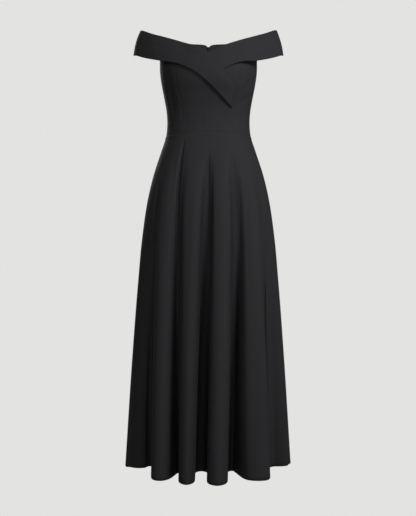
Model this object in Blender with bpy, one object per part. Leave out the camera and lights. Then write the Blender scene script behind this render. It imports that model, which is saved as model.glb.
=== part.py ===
"""Off-shoulder dress: a crossed folded band, a fitted bodice and a long flared skirt.

Metres, +Z up. The front faces -Y and the wearer's left is +X.
The origin is on the body's axis at the level of the waist seam.
A turn is an angle round the body in degrees: 0 at the centre front, 90 at the
wearer's left side, 180 at the centre back and -90 at the wearer's right side.
"""
import math
from collections import namedtuple

import bpy
import bmesh
from mathutils import Vector

# Cloth and seams
CLOTH_WALL = 0.002
BAND_WALL = 0.003
SEAM_GAP = 0.0003
HEM_Z = -0.983
BODICE_HEIGHT = 0.245
LOOP_POWER = 2.25

# The dress before its folds, from the hem to the neckline.
Section = namedtuple("Section", "z half_width front_depth back_depth")
SECTIONS = (
    Section(-0.983, 0.2495, 0.160, 0.165),
    Section(-0.656, 0.2282, 0.150, 0.154),
    Section(-0.440, 0.2114, 0.142, 0.147),
    Section(-0.296, 0.1978, 0.136, 0.141),
    Section(-0.188, 0.1815, 0.129, 0.133),
    Section(-0.116, 0.1642, 0.120, 0.123),
    Section(-0.044, 0.1410, 0.106, 0.106),
    Section(0.000, 0.1269, 0.096, 0.094),
    Section(0.040, 0.1232, 0.094, 0.090),
    Section(0.075, 0.1253, 0.097, 0.088),
    Section(0.110, 0.1313, 0.105, 0.088),
    Section(0.148, 0.1388, 0.116, 0.089),
    Section(0.190, 0.1448, 0.117, 0.0900),
    Section(0.220, 0.1455, 0.108, 0.0915),
    Section(0.300, 0.1440, 0.096, 0.0980),
)

# Height of the bodice's top edge round the body, the same on both sides.
TopEdge = namedtuple("TopEdge", "turn z")
TOP_EDGE = (
    TopEdge(0, 0.217),
    TopEdge(30, 0.235),
    TopEdge(50, 0.245),
    TopEdge(72, 0.240),
    TopEdge(90, 0.231),
    TopEdge(112, 0.236),
    TopEdge(145, 0.262),
    TopEdge(180, 0.284),
)

# Distance of a princess seam from the centre front, by share of the bodice's height.
PrincessPoint = namedtuple("PrincessPoint", "rise x")
PRINCESS_SEAM = (
    PrincessPoint(0.00, 0.0720),
    PrincessPoint(0.15, 0.0740),
    PrincessPoint(0.29, 0.0785),
    PrincessPoint(0.42, 0.0825),
    PrincessPoint(0.53, 0.0890),
    PrincessPoint(0.74, 0.0976),
    PrincessPoint(1.00, 0.1030),
)

# The skirt's folds. Each row is a crest or a valley: its turn at the waist, the
# place of its middle at the hem, the way that it faces there, half of its width,
# how far its shoulders lie behind its middle, and the height where it starts.
Fold = namedtuple("Fold", "turn x y facing half_width set_back start_z")
FOLDS = (
    Fold(-90, -0.2495, 0.002, -90, 0.0200, 0.006, -0.120),
    Fold(-77, -0.2140, -0.030, -14, 0.0260, 0.006, -0.140),
    Fold(-63, -0.1710, -0.018, 0, 0.0040, -0.006, -0.130),
    Fold(-51, -0.1345, -0.158, 2, 0.0225, 0.013, -0.060),
    Fold(-38, -0.0885, -0.083, 0, 0.0040, -0.012, -0.022),
    Fold(-19, -0.0608, -0.195, 0, 0.0196, 0.018, -0.050),
    Fold(0, -0.0205, -0.064, 0, 0.0140, -0.010, -0.062),
    Fold(18, 0.0240, -0.203, 0, 0.0245, 0.018, -0.050),
    Fold(35, 0.0690, -0.060, 0, 0.0100, -0.008, -0.060),
    Fold(49, 0.1425, -0.158, 3, 0.0290, 0.012, -0.060),
    Fold(63, 0.1740, -0.014, 0, 0.0030, -0.010, -0.130),
    Fold(77, 0.2175, -0.012, 14, 0.0220, 0.004, -0.160),
    Fold(90, 0.2495, 0.024, 84, 0.0200, 0.008, -0.120),
    Fold(104, 0.2150, 0.112, 122, 0.0260, 0.016, -0.100),
    Fold(119, 0.1520, 0.080, 155, 0.0100, -0.012, -0.070),
    Fold(134, 0.1290, 0.182, 168, 0.0240, 0.016, -0.060),
    Fold(150, 0.0850, 0.084, 180, 0.0100, -0.012, -0.090),
    Fold(165, 0.0450, 0.206, 176, 0.0230, 0.015, -0.150),
    Fold(180, 0.0000, 0.100, 180, 0.0120, -0.014, -0.220),
    Fold(196, -0.0580, 0.200, 180, 0.0200, 0.014, -0.150),
    Fold(212, -0.1010, 0.090, 180, 0.0100, -0.012, -0.080),
    Fold(228, -0.1480, 0.174, 195, 0.0250, 0.016, -0.060),
    Fold(243, -0.1740, 0.078, 205, 0.0100, -0.012, -0.080),
    Fold(257, -0.2240, 0.088, 238, 0.0230, 0.014, -0.100),
)
# Shares of the turn to the next fold where the shoulders of a crest and of a valley lie.
CREST_SHARE = 0.44
VALLEY_SHARE = 0.17
# How softly a fold begins, as a share of its length.
FOLD_EASE = 0.03
# Points of the hem curve before its first fold's middle, so that its ends match.
LEAD_IN = 3

# How finely the panels are cut: rows, levels and columns.
BODICE_ROWS = 9
CENTRE_FRONT_STEPS = 12
SIDE_FRONT_STEPS = 6
BODICE_BACK_STEPS = 10
SKIRT_LEVELS = (0.0, 0.03, 0.075, 0.13, 0.20, 0.30, 0.43, 0.59, 0.78, 1.0)
FRONT_STEPS = 3
BACK_STEPS = 2

# The folded band. Each row crosses the band from its upper to its lower edge on
# the outside, on the wearer's left; the right side is the same with x reversed.
BandRow = namedtuple("BandRow", "up_x up_y up_z low_x low_y low_z")
BAND_OVER_ARM = (
    BandRow(0.1305, -0.078, 0.2790, 0.1400, -0.083, 0.2095),
    BandRow(0.1735, -0.049, 0.2990, 0.1850, -0.052, 0.2250),
    BandRow(0.1980, -0.022, 0.3140, 0.2160, -0.024, 0.2400),
    BandRow(0.2060, 0.004, 0.3195, 0.2250, 0.004, 0.2470),
)
BAND_BACK = (
    BandRow(0.2060, 0.004, 0.3195, 0.2250, 0.004, 0.2470),
    BandRow(0.1985, 0.030, 0.3185, 0.2150, 0.034, 0.2555),
    BandRow(0.1650, 0.062, 0.3170, 0.1740, 0.071, 0.2650),
    BandRow(0.1150, 0.084, 0.3120, 0.1200, 0.093, 0.2560),
    BandRow(0.0600, 0.093, 0.3060, 0.0620, 0.102, 0.2440),
    BandRow(0.0070, 0.096, 0.3020, 0.0070, 0.105, 0.2370),
    BandRow(0.0000, 0.096, 0.2930, 0.0000, 0.105, 0.2370),
)
# The front ends, from the centre outwards: the left band passes under the right
# one, which crosses the centre front and ends in the left princess seam.
UNDER_END = (
    BandRow(0.0010, -0.112, 0.2225, 0.0130, -0.121, 0.1600),
    BandRow(0.0220, -0.110, 0.2375, 0.0430, -0.118, 0.1770),
    BandRow(0.0550, -0.106, 0.2505, 0.0730, -0.113, 0.1930),
    BandRow(0.0950, -0.096, 0.2650, 0.1060, -0.103, 0.2040),
)
CROSSING_END = (
    BandRow(-0.0905, -0.105, 0.1200, -0.0790, -0.102, 0.0700),
    BandRow(-0.0770, -0.113, 0.1350, -0.0550, -0.110, 0.0890),
    BandRow(-0.0455, -0.123, 0.1740, -0.0200, -0.122, 0.1210),
    BandRow(-0.0230, -0.122, 0.2010, 0.0080, -0.126, 0.1440),
    BandRow(0.0000, -0.118, 0.2270, 0.0400, -0.124, 0.1700),
    BandRow(0.0400, -0.110, 0.2450, 0.0700, -0.117, 0.1860),
    BandRow(0.0860, -0.100, 0.2610, 0.1020, -0.106, 0.1985),
)
BAND_STEPS = 3
BAND_LEVELS = (0.0, 0.25, 0.5, 0.75, 1.0)
BAND_BULGE = 0.003
BAND_STAND = 0.0016
END_STAND = 0.0007
CROSSING_STAND = BAND_STAND + BAND_WALL + 0.0020

# The concealed zip at the centre back
ZIP_END_LEVEL = 0.20
TAPE_HALF_WIDTH = 0.011
TAPE_WALL = 0.0008
CHAIN_HALF_WIDTH = 0.002
CHAIN_SLOPE = 0.0002
CHAIN_WALL = 0.0018

SLIDER_HALF_WIDTH = 0.0035
SLIDER_DEPTH = 0.0025
SLIDER_BACK_Y = 0.0967
SLIDER_BOTTOM_Z = 0.2846
SLIDER_TOP_Z = 0.2975
NECK_HALF_WIDTH = 0.0008
NECK_BOTTOM_Z = 0.2950
PIVOT_Y = 0.1040
PIVOT_Z = 0.2960
RING_OUTER = 0.0018
RING_INNER = 0.0010
PULL_HALF_WIDTH = 0.0028
PULL_LENGTH = 0.0240
PULL_THICKNESS = 0.0010
PULL_EYE_HALF_WIDTH = 0.0013
PULL_EYE_LENGTH = 0.0026
PULL_LEAN = math.radians(2.0)

# Colours, and the roughness of each finish
CREPE_BLACK = (0.020, 0.020, 0.023, 1.0)
ZIP_BLACK = (0.012, 0.012, 0.014, 1.0)
CREPE_ROUGHNESS = 0.8
TAPE_ROUGHNESS = 0.7
METAL_ROUGHNESS = 0.35
METAL_SHARE = 0.6

# Edges sharper than this stay crisp when the surfaces are shaded smooth.
SHARP_ANGLE = math.radians(40)
# Steps of halving when a place is looked for on a curve.
HALVINGS = 30
# Distances to the neighbours that give a surface's direction.
TURN_NUDGE = 1.0
SKIRT_NUDGE = 0.02
BAND_NUDGE = 0.05


def clear_scene():
    """Remove whatever the scene holds."""
    for thing in list(bpy.data.objects):
        bpy.data.objects.remove(thing, do_unlink=True)


def make_material(name, colour, roughness, metallic=0.0):
    """A Principled material with one colour."""
    material = bpy.data.materials.new(name)
    material.use_nodes = True
    shader = material.node_tree.nodes["Principled BSDF"]
    shader.inputs["Base Color"].default_value = colour
    shader.inputs["Roughness"].default_value = roughness
    shader.inputs["Metallic"].default_value = metallic
    return material


def slopes(knots, values):
    """The slope of a smooth curve at each of its values."""
    last = len(values) - 1
    result = []
    for index, value in enumerate(values):
        before = max(index - 1, 0)
        after = min(index + 1, last)
        if before == index or after == index:
            span = knots[after] - knots[before]
            result.append((values[after] - values[before]) / span)
            continue
        step_in = knots[index] - knots[before]
        step_out = knots[after] - knots[index]
        rate_in = (value - values[before]) / step_in
        rate_out = (values[after] - value) / step_out
        result.append((rate_in * step_out + rate_out * step_in) / (step_in + step_out))
    return result


def smooth_value(knots, values, at):
    """The value of the smooth curve through (knot, value) pairs."""
    tangents = slopes(knots, values)
    at = min(max(at, knots[0]), knots[-1])
    index = 0
    while index < len(knots) - 2 and at > knots[index + 1]:
        index += 1
    step = knots[index + 1] - knots[index]
    t = (at - knots[index]) / step
    start_weight = 2 * t ** 3 - 3 * t ** 2 + 1
    end_weight = 1 - start_weight
    start_slope = (t ** 3 - 2 * t ** 2 + t) * step
    end_slope = (t ** 3 - t ** 2) * step
    return (start_weight * values[index] + end_weight * values[index + 1]
            + start_slope * tangents[index] + end_slope * tangents[index + 1])


def column(rows, name):
    """One named column of a table."""
    return [getattr(row, name) for row in rows]


def section_at(z):
    """The half width and the two depths of the dress at a height."""
    heights = column(SECTIONS, "z")
    return [smooth_value(heights, column(SECTIONS, name), z)
            for name in ("half_width", "front_depth", "back_depth")]


def radius_at(turn, z):
    """Distance from the axis to the outside of the dress before its folds."""
    half_width, front_depth, back_depth = section_at(z)
    across = math.sin(math.radians(turn))
    forward = math.cos(math.radians(turn))
    depth = front_depth if forward > 0 else back_depth
    total = abs(across / half_width) ** LOOP_POWER + abs(forward / depth) ** LOOP_POWER
    return total ** (-1 / LOOP_POWER)


def body_point(turn, z):
    """A point on the outside of the dress before its folds."""
    radius = radius_at(turn, z)
    angle = math.radians(turn)
    return Vector((radius * math.sin(angle), -radius * math.cos(angle), z))


def turn_of_x(x, z):
    """The turn on the front where the dress is x from the centre."""
    low, high = 0.0, 90.0
    for _ in range(HALVINGS):
        middle = (low + high) / 2
        if body_point(middle, z).x < x:
            low = middle
        else:
            high = middle
    return low


def inward(before, after):
    """The level direction that points into the dress, from a point's two neighbours."""
    along = after - before
    return Vector((-along.y, along.x, 0)).normalized()


def wall(name, outer, inner, material, collection):
    """A closed wall between two grids of points, rows by columns."""
    row_count = len(outer)
    column_count = len(outer[0])
    points = [point for row in outer for point in row]
    points += [point for row in inner for point in row]
    inner_start = row_count * column_count

    def corner(layer, row, place):
        return layer * inner_start + row * column_count + place

    faces = []
    for row in range(row_count - 1):
        for place in range(column_count - 1):
            quad = [(row, place), (row, place + 1), (row + 1, place + 1), (row + 1, place)]
            faces.append([corner(0, *spot) for spot in quad])
            faces.append([corner(1, *spot) for spot in reversed(quad)])
    border = [(0, place) for place in range(column_count)]
    border += [(row, column_count - 1) for row in range(1, row_count)]
    border += [(row_count - 1, place) for place in range(column_count - 2, -1, -1)]
    border += [(row, 0) for row in range(row_count - 2, 0, -1)]
    for index, spot in enumerate(border):
        following = border[(index + 1) % len(border)]
        faces.append([corner(0, *following), corner(0, *spot),
                      corner(1, *spot), corner(1, *following)])
    mesh = bpy.data.meshes.new(name)
    mesh.from_pydata([tuple(point) for point in points], [], faces)
    shape = bmesh.new()
    shape.from_mesh(mesh)
    bmesh.ops.recalc_face_normals(shape, faces=shape.faces)
    shape.to_mesh(mesh)
    shape.free()
    return add_object(name, mesh, material, collection)


def add_object(name, mesh, material, collection):
    """Put a mesh in the scene with its material, shaded smooth."""
    thing = bpy.data.objects.new(name, mesh)
    mesh.materials.append(material)
    mesh.shade_smooth()
    mesh.set_sharp_from_angle(angle=SHARP_ANGLE)
    collection.objects.link(thing)
    return thing


# Bodice

def top_edge_z(turn):
    """Height of the bodice's top edge."""
    away = abs((turn + 180) % 360 - 180)
    return smooth_value(column(TOP_EDGE, "turn"), column(TOP_EDGE, "z"), away)


def princess_turn(rise):
    """Turn of the left princess seam at a share of the bodice's height."""
    x = smooth_value(column(PRINCESS_SEAM, "rise"), column(PRINCESS_SEAM, "x"), rise)
    return turn_of_x(x, rise * BODICE_HEIGHT)


def gap_turn(turn, z):
    """The turn that half of a seam's gap takes."""
    return math.degrees(SEAM_GAP / 2 / radius_at(turn, z))


def bodice_z(turn, rise):
    """Height of a share of the way from the waist seam to the top edge."""
    return SEAM_GAP / 2 + rise * (top_edge_z(turn) - SEAM_GAP / 2)


def skirt_z(level):
    """Height of a share of the way from the waist seam to the hem."""
    return -SEAM_GAP / 2 + level * (HEM_Z + SEAM_GAP / 2)


def bodice_panel(name, edge_turns, steps, material, collection):
    """A panel between two seams; edge_turns gives both turns for a rise."""
    outer, inner = [], []
    for row in range(BODICE_ROWS + 1):
        rise = row / BODICE_ROWS
        first, second = edge_turns(rise)
        first += gap_turn(first, rise * BODICE_HEIGHT)
        second -= gap_turn(second, rise * BODICE_HEIGHT)
        outer_row, inner_row = [], []
        for step in range(steps + 1):
            turn = first + (second - first) * step / steps
            z = bodice_z(turn, rise)
            point = body_point(turn, z)
            direction = inward(body_point(turn - TURN_NUDGE, z), body_point(turn + TURN_NUDGE, z))
            outer_row.append(point)
            inner_row.append(point + direction * CLOTH_WALL)
        outer.append(outer_row)
        inner.append(inner_row)
    return wall(name, outer, inner, material, collection)


def make_bodice(material, collection):
    """The centre front, two side fronts and two backs."""
    def centre(rise):
        seam = princess_turn(rise)
        return -seam, seam

    def side_left(rise):
        return princess_turn(rise), 90.0

    def side_right(rise):
        return -90.0, -princess_turn(rise)

    def back_left(rise):
        return 90.0, 180.0

    def back_right(rise):
        return 180.0, 270.0

    panels = (
        ("centre_front", centre, CENTRE_FRONT_STEPS),
        ("side_front_left", side_left, SIDE_FRONT_STEPS),
        ("side_front_right", side_right, SIDE_FRONT_STEPS),
        ("back_left", back_left, BODICE_BACK_STEPS),
        ("back_right", back_right, BODICE_BACK_STEPS),
    )
    for name, edge_turns, steps in panels:
        bodice_panel("bodice_" + name, edge_turns, steps, material, collection)


# Skirt

def fold_controls():
    """Three hem points for each fold: its two shoulders and its middle."""
    controls = []
    count = len(FOLDS)
    for index, fold in enumerate(FOLDS):
        step_in = (fold.turn - FOLDS[index - 1].turn) % 360
        step_out = (FOLDS[(index + 1) % count].turn - fold.turn) % 360
        angle = math.radians(fold.facing)
        facing = Vector((math.sin(angle), -math.cos(angle)))
        across = Vector((math.cos(angle), math.sin(angle)))
        middle = Vector((fold.x, fold.y))
        reach = CREST_SHARE if fold.set_back > 0 else VALLEY_SHARE
        for side, turn_shift in ((-1, -step_in * reach), (0, 0.0), (1, step_out * reach)):
            place = middle + across * fold.half_width * side
            place -= facing * fold.set_back * abs(side)
            controls.append((fold.turn + turn_shift, place.x, place.y, fold.start_z))
    return controls


def fold_curve(controls):
    """Knots and columns of the curve through the hem points, a little more than once round."""
    count = len(controls)
    knots = [0.0]
    wrapped = [controls[index % count] for index in range(-LEAD_IN, count + LEAD_IN + 1)]
    for before, after in zip(wrapped, wrapped[1:]):
        step = math.dist(before[1:3], after[1:3])
        knots.append(knots[-1] + math.sqrt(step))
    columns = [list(values) for values in zip(*wrapped)]
    for index in range(1, len(wrapped)):
        while columns[0][index] < columns[0][index - 1]:
            columns[0][index] += 360.0
    return knots, columns


class Skirt:
    """The folded skirt as a surface over place, counted in hem points, and height."""

    def __init__(self):
        self.knots, self.columns = fold_curve(fold_controls())
        self.tangents = [slopes(self.knots, values) for values in self.columns]

    def hem(self, place):
        """Turn at the waist, hem x and y, and start height at a place."""
        shifted = place + LEAD_IN
        index = min(int(math.floor(shifted)), len(self.knots) - 2)
        t = shifted - index
        step = self.knots[index + 1] - self.knots[index]
        start_weight = 2 * t ** 3 - 3 * t ** 2 + 1
        start_slope = (t ** 3 - 2 * t ** 2 + t) * step
        end_slope = (t ** 3 - t ** 2) * step
        result = []
        for values, tangents in zip(self.columns, self.tangents):
            result.append(start_weight * values[index] + (1 - start_weight) * values[index + 1]
                          + start_slope * tangents[index] + end_slope * tangents[index + 1])
        return result

    def point(self, place, z):
        """A point on the outside of the skirt."""
        turn, hem_x, hem_y, start_z = self.hem(place)
        base = body_point(turn, z)
        base_hem = body_point(turn, HEM_Z)
        fall = max((start_z - z) / (start_z - HEM_Z), 0.0)
        growth = fall * fall * (1 + FOLD_EASE) / (fall + FOLD_EASE)
        return base + Vector((hem_x - base_hem.x, hem_y - base_hem.y, 0)) * growth

    def pair(self, place, z):
        """The outer and inner points of the wall."""
        point = self.point(place, z)
        before = self.point(place - SKIRT_NUDGE, z)
        after = self.point(place + SKIRT_NUDGE, z)
        return point, point + inward(before, after) * CLOTH_WALL


def with_seam_gaps(pairs):
    """A row of outer and inner points whose ends stop half a seam's gap short."""
    for end, neighbour in ((0, 1), (-1, -2)):
        along = pairs[neighbour][0] - pairs[end][0]
        shift = along.normalized() * SEAM_GAP / 2
        pairs[end] = [point + shift for point in pairs[end]]
    return pairs


def skirt_panel(name, skirt, first, last, steps, material, collection):
    """A panel of the skirt between two places, which lie on fold middles."""
    places = [first + step / steps for step in range((last - first) * steps + 1)]
    outer, inner = [], []
    for level in reversed(SKIRT_LEVELS):
        pairs = with_seam_gaps([list(skirt.pair(place, skirt_z(level))) for place in places])
        outer.append([pair[0] for pair in pairs])
        inner.append([pair[1] for pair in pairs])
    return wall(name, outer, inner, material, collection)


def make_skirt(material, collection):
    """One front and two backs, with seams at the sides and the centre back."""
    skirt = Skirt()
    turns = column(FOLDS, "turn")
    right_seam = 3 * turns.index(-90) + 1
    left_seam = 3 * turns.index(90) + 1
    back_seam = 3 * turns.index(180) + 1
    whole = 3 * len(FOLDS)
    skirt_panel("skirt_front", skirt, right_seam, left_seam, FRONT_STEPS, material, collection)
    skirt_panel("skirt_back_left", skirt, left_seam, back_seam, BACK_STEPS, material, collection)
    skirt_panel("skirt_back_right", skirt, back_seam, whole + right_seam, BACK_STEPS,
                material, collection)


# Band

def clear_of_bodice(point, stand):
    """Move a point straight out until it stands clear of the bodice."""
    turn = math.degrees(math.atan2(point.x, -point.y))
    distance = math.hypot(point.x, point.y)
    least = radius_at(turn, point.z) + stand
    if distance >= least:
        return point
    return Vector((point.x * least / distance, point.y * least / distance, point.z))


class Band:
    """A band as a surface over place, counted in rows, and share from upper to lower edge."""

    def __init__(self, rows, stands, side):
        self.rows = rows
        self.stands = stands
        self.side = side
        self.knots = [0.0]
        for before, after in zip(rows, rows[1:]):
            self.knots.append(self.knots[-1] + math.sqrt(math.dist(before, after)))
        self.columns = [list(values) for values in zip(*rows)]

    def point(self, place, share):
        """A point on the outside of the band."""
        index = min(max(int(math.floor(place)), 0), len(self.rows) - 2)
        step = self.knots[index + 1] - self.knots[index]
        knot = self.knots[index] + (place - index) * step
        values = [smooth_value(self.knots, column_values, knot)
                  for column_values in self.columns]
        upper = Vector(values[:3])
        lower = Vector(values[3:])
        point = upper.lerp(lower, share)
        outward = Vector((point.x, point.y, 0)).normalized()
        point += outward * BAND_BULGE * 4 * share * (1 - share)
        stand = smooth_value(list(range(len(self.stands))), self.stands, place)
        point = clear_of_bodice(point, stand + BAND_WALL)
        return Vector((point.x * self.side, point.y, point.z))

    def pair(self, place, share):
        """The outer and inner points of the wall."""
        last = len(self.rows) - 1
        before = max(place - BAND_NUDGE, 0.0)
        after = min(place + BAND_NUDGE, last)
        along = self.point(after, share) - self.point(before, share)
        high = max(share - BAND_NUDGE, 0.0)
        low = min(share + BAND_NUDGE, 1.0)
        down = self.point(place, low) - self.point(place, high)
        normal = along.cross(down).normalized() * self.side
        point = self.point(place, share)
        return point, point + normal * BAND_WALL


def band_panel(name, band, first, last, material, collection):
    """A length of band between two rows, short of each seam by half of its gap."""
    places = [first + step / BAND_STEPS for step in range((last - first) * BAND_STEPS + 1)]
    outer, inner = [], []
    for share in BAND_LEVELS:
        pairs = with_seam_gaps([list(band.pair(place, share)) for place in places])
        outer.append([pair[0] for pair in pairs])
        inner.append([pair[1] for pair in pairs])
    return wall(name, outer, inner, material, collection)


def make_band(material, collection):
    """Two fronts, one crossing over the other, and two backs."""
    ends = (
        ("left", 1, UNDER_END, BAND_STAND, BAND_STAND),
        ("right", -1, CROSSING_END, END_STAND, CROSSING_STAND),
    )
    for name, side, end_rows, end_stand, middle_stand in ends:
        front_rows = end_rows + BAND_OVER_ARM
        rows = front_rows + BAND_BACK[1:]
        stands = [end_stand] + [middle_stand] * (len(end_rows) - 2)
        stands += [BAND_STAND] * (len(front_rows) - len(stands))
        stands += [END_STAND] * (len(rows) - len(front_rows))
        band = Band(rows, stands, side)
        over_arm = len(front_rows) - 1
        band_panel("band_front_" + name, band, 0, over_arm, material, collection)
        band_panel("band_back_" + name, band, over_arm, len(rows) - 1, material, collection)


# Zip

def back_inside_y(x, z):
    """The inner face of the cloth near the centre back."""
    turn = 180.0 - math.degrees(math.atan2(x, radius_at(180.0, z)))
    return body_point(turn, z).y - CLOTH_WALL


def make_zip_tape(material, collection):
    """The tape, with the chain as a raised middle on its inner side."""
    half = TAPE_HALF_WIDTH
    chain = CHAIN_HALF_WIDTH
    spots = (
        (-half, TAPE_WALL), (-half / 2, TAPE_WALL), (-chain - CHAIN_SLOPE, TAPE_WALL),
        (-chain, CHAIN_WALL), (chain, CHAIN_WALL),
        (chain + CHAIN_SLOPE, TAPE_WALL), (half / 2, TAPE_WALL), (half, TAPE_WALL),
    )
    clearance = 2 * SEAM_GAP
    heights = [skirt_z(level) for level in reversed(SKIRT_LEVELS) if level <= ZIP_END_LEVEL]
    heights += [bodice_z(180, row / BODICE_ROWS) for row in range(1, BODICE_ROWS + 1)]
    heights[-1] -= clearance
    outer, inner = [], []
    for z in heights:
        outer_row, inner_row = [], []
        for x, thickness in spots:
            y = back_inside_y(x, z) - clearance
            outer_row.append(Vector((x, y, z)))
            inner_row.append(Vector((x, y - thickness, z)))
        outer.append(outer_row)
        inner.append(inner_row)
    return wall("zip_tape", outer, inner, material, collection)


def box_mesh(name, low, high):
    """A box between two corners, as a scratch object."""
    mesh = bpy.data.meshes.new(name)
    shape = bmesh.new()
    bmesh.ops.create_cube(shape, size=1.0)
    for vertex in shape.verts:
        for axis in range(3):
            share = vertex.co[axis] + 0.5
            vertex.co[axis] = low[axis] + (high[axis] - low[axis]) * share
    shape.to_mesh(mesh)
    shape.free()
    return bpy.data.objects.new(name, mesh)


def rod_mesh(name, radius, half_length, centre, sides=20):
    """A round rod along X, as a scratch object."""
    mesh = bpy.data.meshes.new(name)
    shape = bmesh.new()
    bmesh.ops.create_cone(shape, cap_ends=True, segments=sides, radius1=radius,
                          radius2=radius, depth=2 * half_length)
    for vertex in shape.verts:
        x, y, z = vertex.co
        vertex.co = Vector((z, x, y)) + Vector(centre)
    shape.to_mesh(mesh)
    shape.free()
    return bpy.data.objects.new(name, mesh)


def join_shapes(target, shapes, operation, cutters):
    """Add shapes to the target or cut them out of it."""
    for shape in shapes:
        cutters.objects.link(shape)
        shape.hide_render = True
        shape.display_type = "WIRE"
        modifier = target.modifiers.new(shape.name, "BOOLEAN")
        modifier.operation = operation
        modifier.object = shape
        modifier.solver = "EXACT"


def make_slider(material, collection, cutters):
    """A plate inside the band, a neck through the notch and a ring outside."""
    body = box_mesh("zip_slider",
                    (-SLIDER_HALF_WIDTH, SLIDER_BACK_Y - SLIDER_DEPTH, SLIDER_BOTTOM_Z),
                    (SLIDER_HALF_WIDTH, SLIDER_BACK_Y, SLIDER_TOP_Z))
    collection.objects.link(body)
    body.data.materials.append(material)
    pivot = (0.0, PIVOT_Y, PIVOT_Z)
    ring_middle = (RING_OUTER + RING_INNER) / 2
    neck = box_mesh("slider_neck",
                    (-NECK_HALF_WIDTH, SLIDER_BACK_Y - SLIDER_DEPTH / 2, NECK_BOTTOM_Z),
                    (NECK_HALF_WIDTH, PIVOT_Y - ring_middle, SLIDER_TOP_Z - SEAM_GAP))
    ring = rod_mesh("slider_ring", RING_OUTER, NECK_HALF_WIDTH, pivot)
    eye = rod_mesh("slider_eye", RING_INNER, 2 * NECK_HALF_WIDTH, pivot)
    join_shapes(body, [neck, ring], "UNION", cutters)
    join_shapes(body, [eye], "DIFFERENCE", cutters)
    return body


def make_pull(material, collection, cutters):
    """The tab: a flat plate with an eye at its top, hung on the slider's ring."""
    half_bar = PULL_THICKNESS / 2
    plate = box_mesh("zip_pull", (-PULL_HALF_WIDTH, -half_bar, -PULL_LENGTH),
                     (PULL_HALF_WIDTH, half_bar, half_bar))
    collection.objects.link(plate)
    plate.data.materials.append(material)
    eye = box_mesh("pull_eye", (-PULL_EYE_HALF_WIDTH, -2 * half_bar, -PULL_EYE_LENGTH),
                   (PULL_EYE_HALF_WIDTH, 2 * half_bar, -half_bar))
    join_shapes(plate, [eye], "DIFFERENCE", cutters)
    plate.location = (0.0, PIVOT_Y, PIVOT_Z)
    plate.rotation_euler = (PULL_LEAN, 0.0, 0.0)
    eye.parent = plate
    return plate


def make_dress():
    """Build every piece of the dress."""
    clear_scene()
    dress = bpy.data.collections.new("off_shoulder_dress")
    cutters = bpy.data.collections.new("cutters")
    bpy.context.scene.collection.children.link(dress)
    bpy.context.scene.collection.children.link(cutters)
    make_bodice(make_material("bodice_crepe", CREPE_BLACK, CREPE_ROUGHNESS), dress)
    make_band(make_material("band_crepe", CREPE_BLACK, CREPE_ROUGHNESS), dress)
    make_skirt(make_material("skirt_crepe", CREPE_BLACK, CREPE_ROUGHNESS), dress)
    make_zip_tape(make_material("zip_tape_weave", ZIP_BLACK, TAPE_ROUGHNESS), dress)
    zip_metal = make_material("zip_lacquer", ZIP_BLACK, METAL_ROUGHNESS, METAL_SHARE)
    make_slider(zip_metal, dress, cutters)
    make_pull(zip_metal, dress, cutters)


make_dress()
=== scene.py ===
# %% [markdown]
# # An off-shoulder dress in black crepe
#
# The dress is shown filled out with no wearer: a crossed folded band, a bodice with
# princess seams, and a long skirt that falls in soft organ-pipe folds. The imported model
# gives the frame, and every piece of cloth is made again here as a finer shell on the
# same form, from the same few tables of sizes.

# %% Load the frame
import math
from collections import namedtuple

import bmesh
import bpy
import numpy as np
from mathutils import Matrix, Vector


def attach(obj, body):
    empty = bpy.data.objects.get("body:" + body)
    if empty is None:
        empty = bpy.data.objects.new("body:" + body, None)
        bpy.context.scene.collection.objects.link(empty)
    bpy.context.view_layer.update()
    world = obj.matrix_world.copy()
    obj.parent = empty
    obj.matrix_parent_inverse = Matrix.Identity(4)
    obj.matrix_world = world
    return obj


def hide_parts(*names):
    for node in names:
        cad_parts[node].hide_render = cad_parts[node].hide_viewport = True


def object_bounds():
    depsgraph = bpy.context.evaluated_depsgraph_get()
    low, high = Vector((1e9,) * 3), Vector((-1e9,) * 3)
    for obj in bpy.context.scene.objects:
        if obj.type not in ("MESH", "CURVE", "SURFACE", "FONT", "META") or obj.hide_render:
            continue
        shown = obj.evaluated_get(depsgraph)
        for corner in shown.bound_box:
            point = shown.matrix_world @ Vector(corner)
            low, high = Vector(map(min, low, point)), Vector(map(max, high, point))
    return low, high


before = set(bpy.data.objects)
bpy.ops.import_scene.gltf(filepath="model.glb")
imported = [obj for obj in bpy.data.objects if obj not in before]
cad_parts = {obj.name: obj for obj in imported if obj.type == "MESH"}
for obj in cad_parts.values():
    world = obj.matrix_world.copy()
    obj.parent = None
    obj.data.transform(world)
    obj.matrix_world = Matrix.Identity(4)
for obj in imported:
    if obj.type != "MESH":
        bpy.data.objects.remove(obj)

cad_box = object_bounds()
print("CAD box", [[round(value, 4) for value in corner] for corner in cad_box])

# %% [markdown]
# ## The view
#
# The photograph was taken straight from the front, with the lens level with the middle of
# the skirt. The near hem folds hang lower in the picture than the far ones, which gives
# the distance: about two and a quarter metres. The lens follows from the photograph's
# scale of 3 mm a pixel at the dress's middle.

# %% Camera
PHOTO_HEIGHT_PX = 516
METRES_PER_PX = 0.0030
EYE_HEIGHT = -0.362
CAMERA_DISTANCE = 2.25
CAMERA_SIDE = -0.0013
SENSOR = 36.0

camera_data = bpy.data.cameras.new("photo_camera")
camera_data.sensor_width = SENSOR
camera_data.lens = SENSOR * CAMERA_DISTANCE / (PHOTO_HEIGHT_PX * METRES_PER_PX)
camera_data.clip_end = 60.0
camera = bpy.data.objects.new("photo_camera", camera_data)
camera.location = (CAMERA_SIDE, -CAMERA_DISTANCE, EYE_HEIGHT)
camera.rotation_euler = (math.radians(90), 0.0, 0.0)
bpy.context.scene.collection.objects.link(camera)
bpy.context.scene.camera = camera
print("lens", round(camera_data.lens, 1), "mm")

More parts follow.
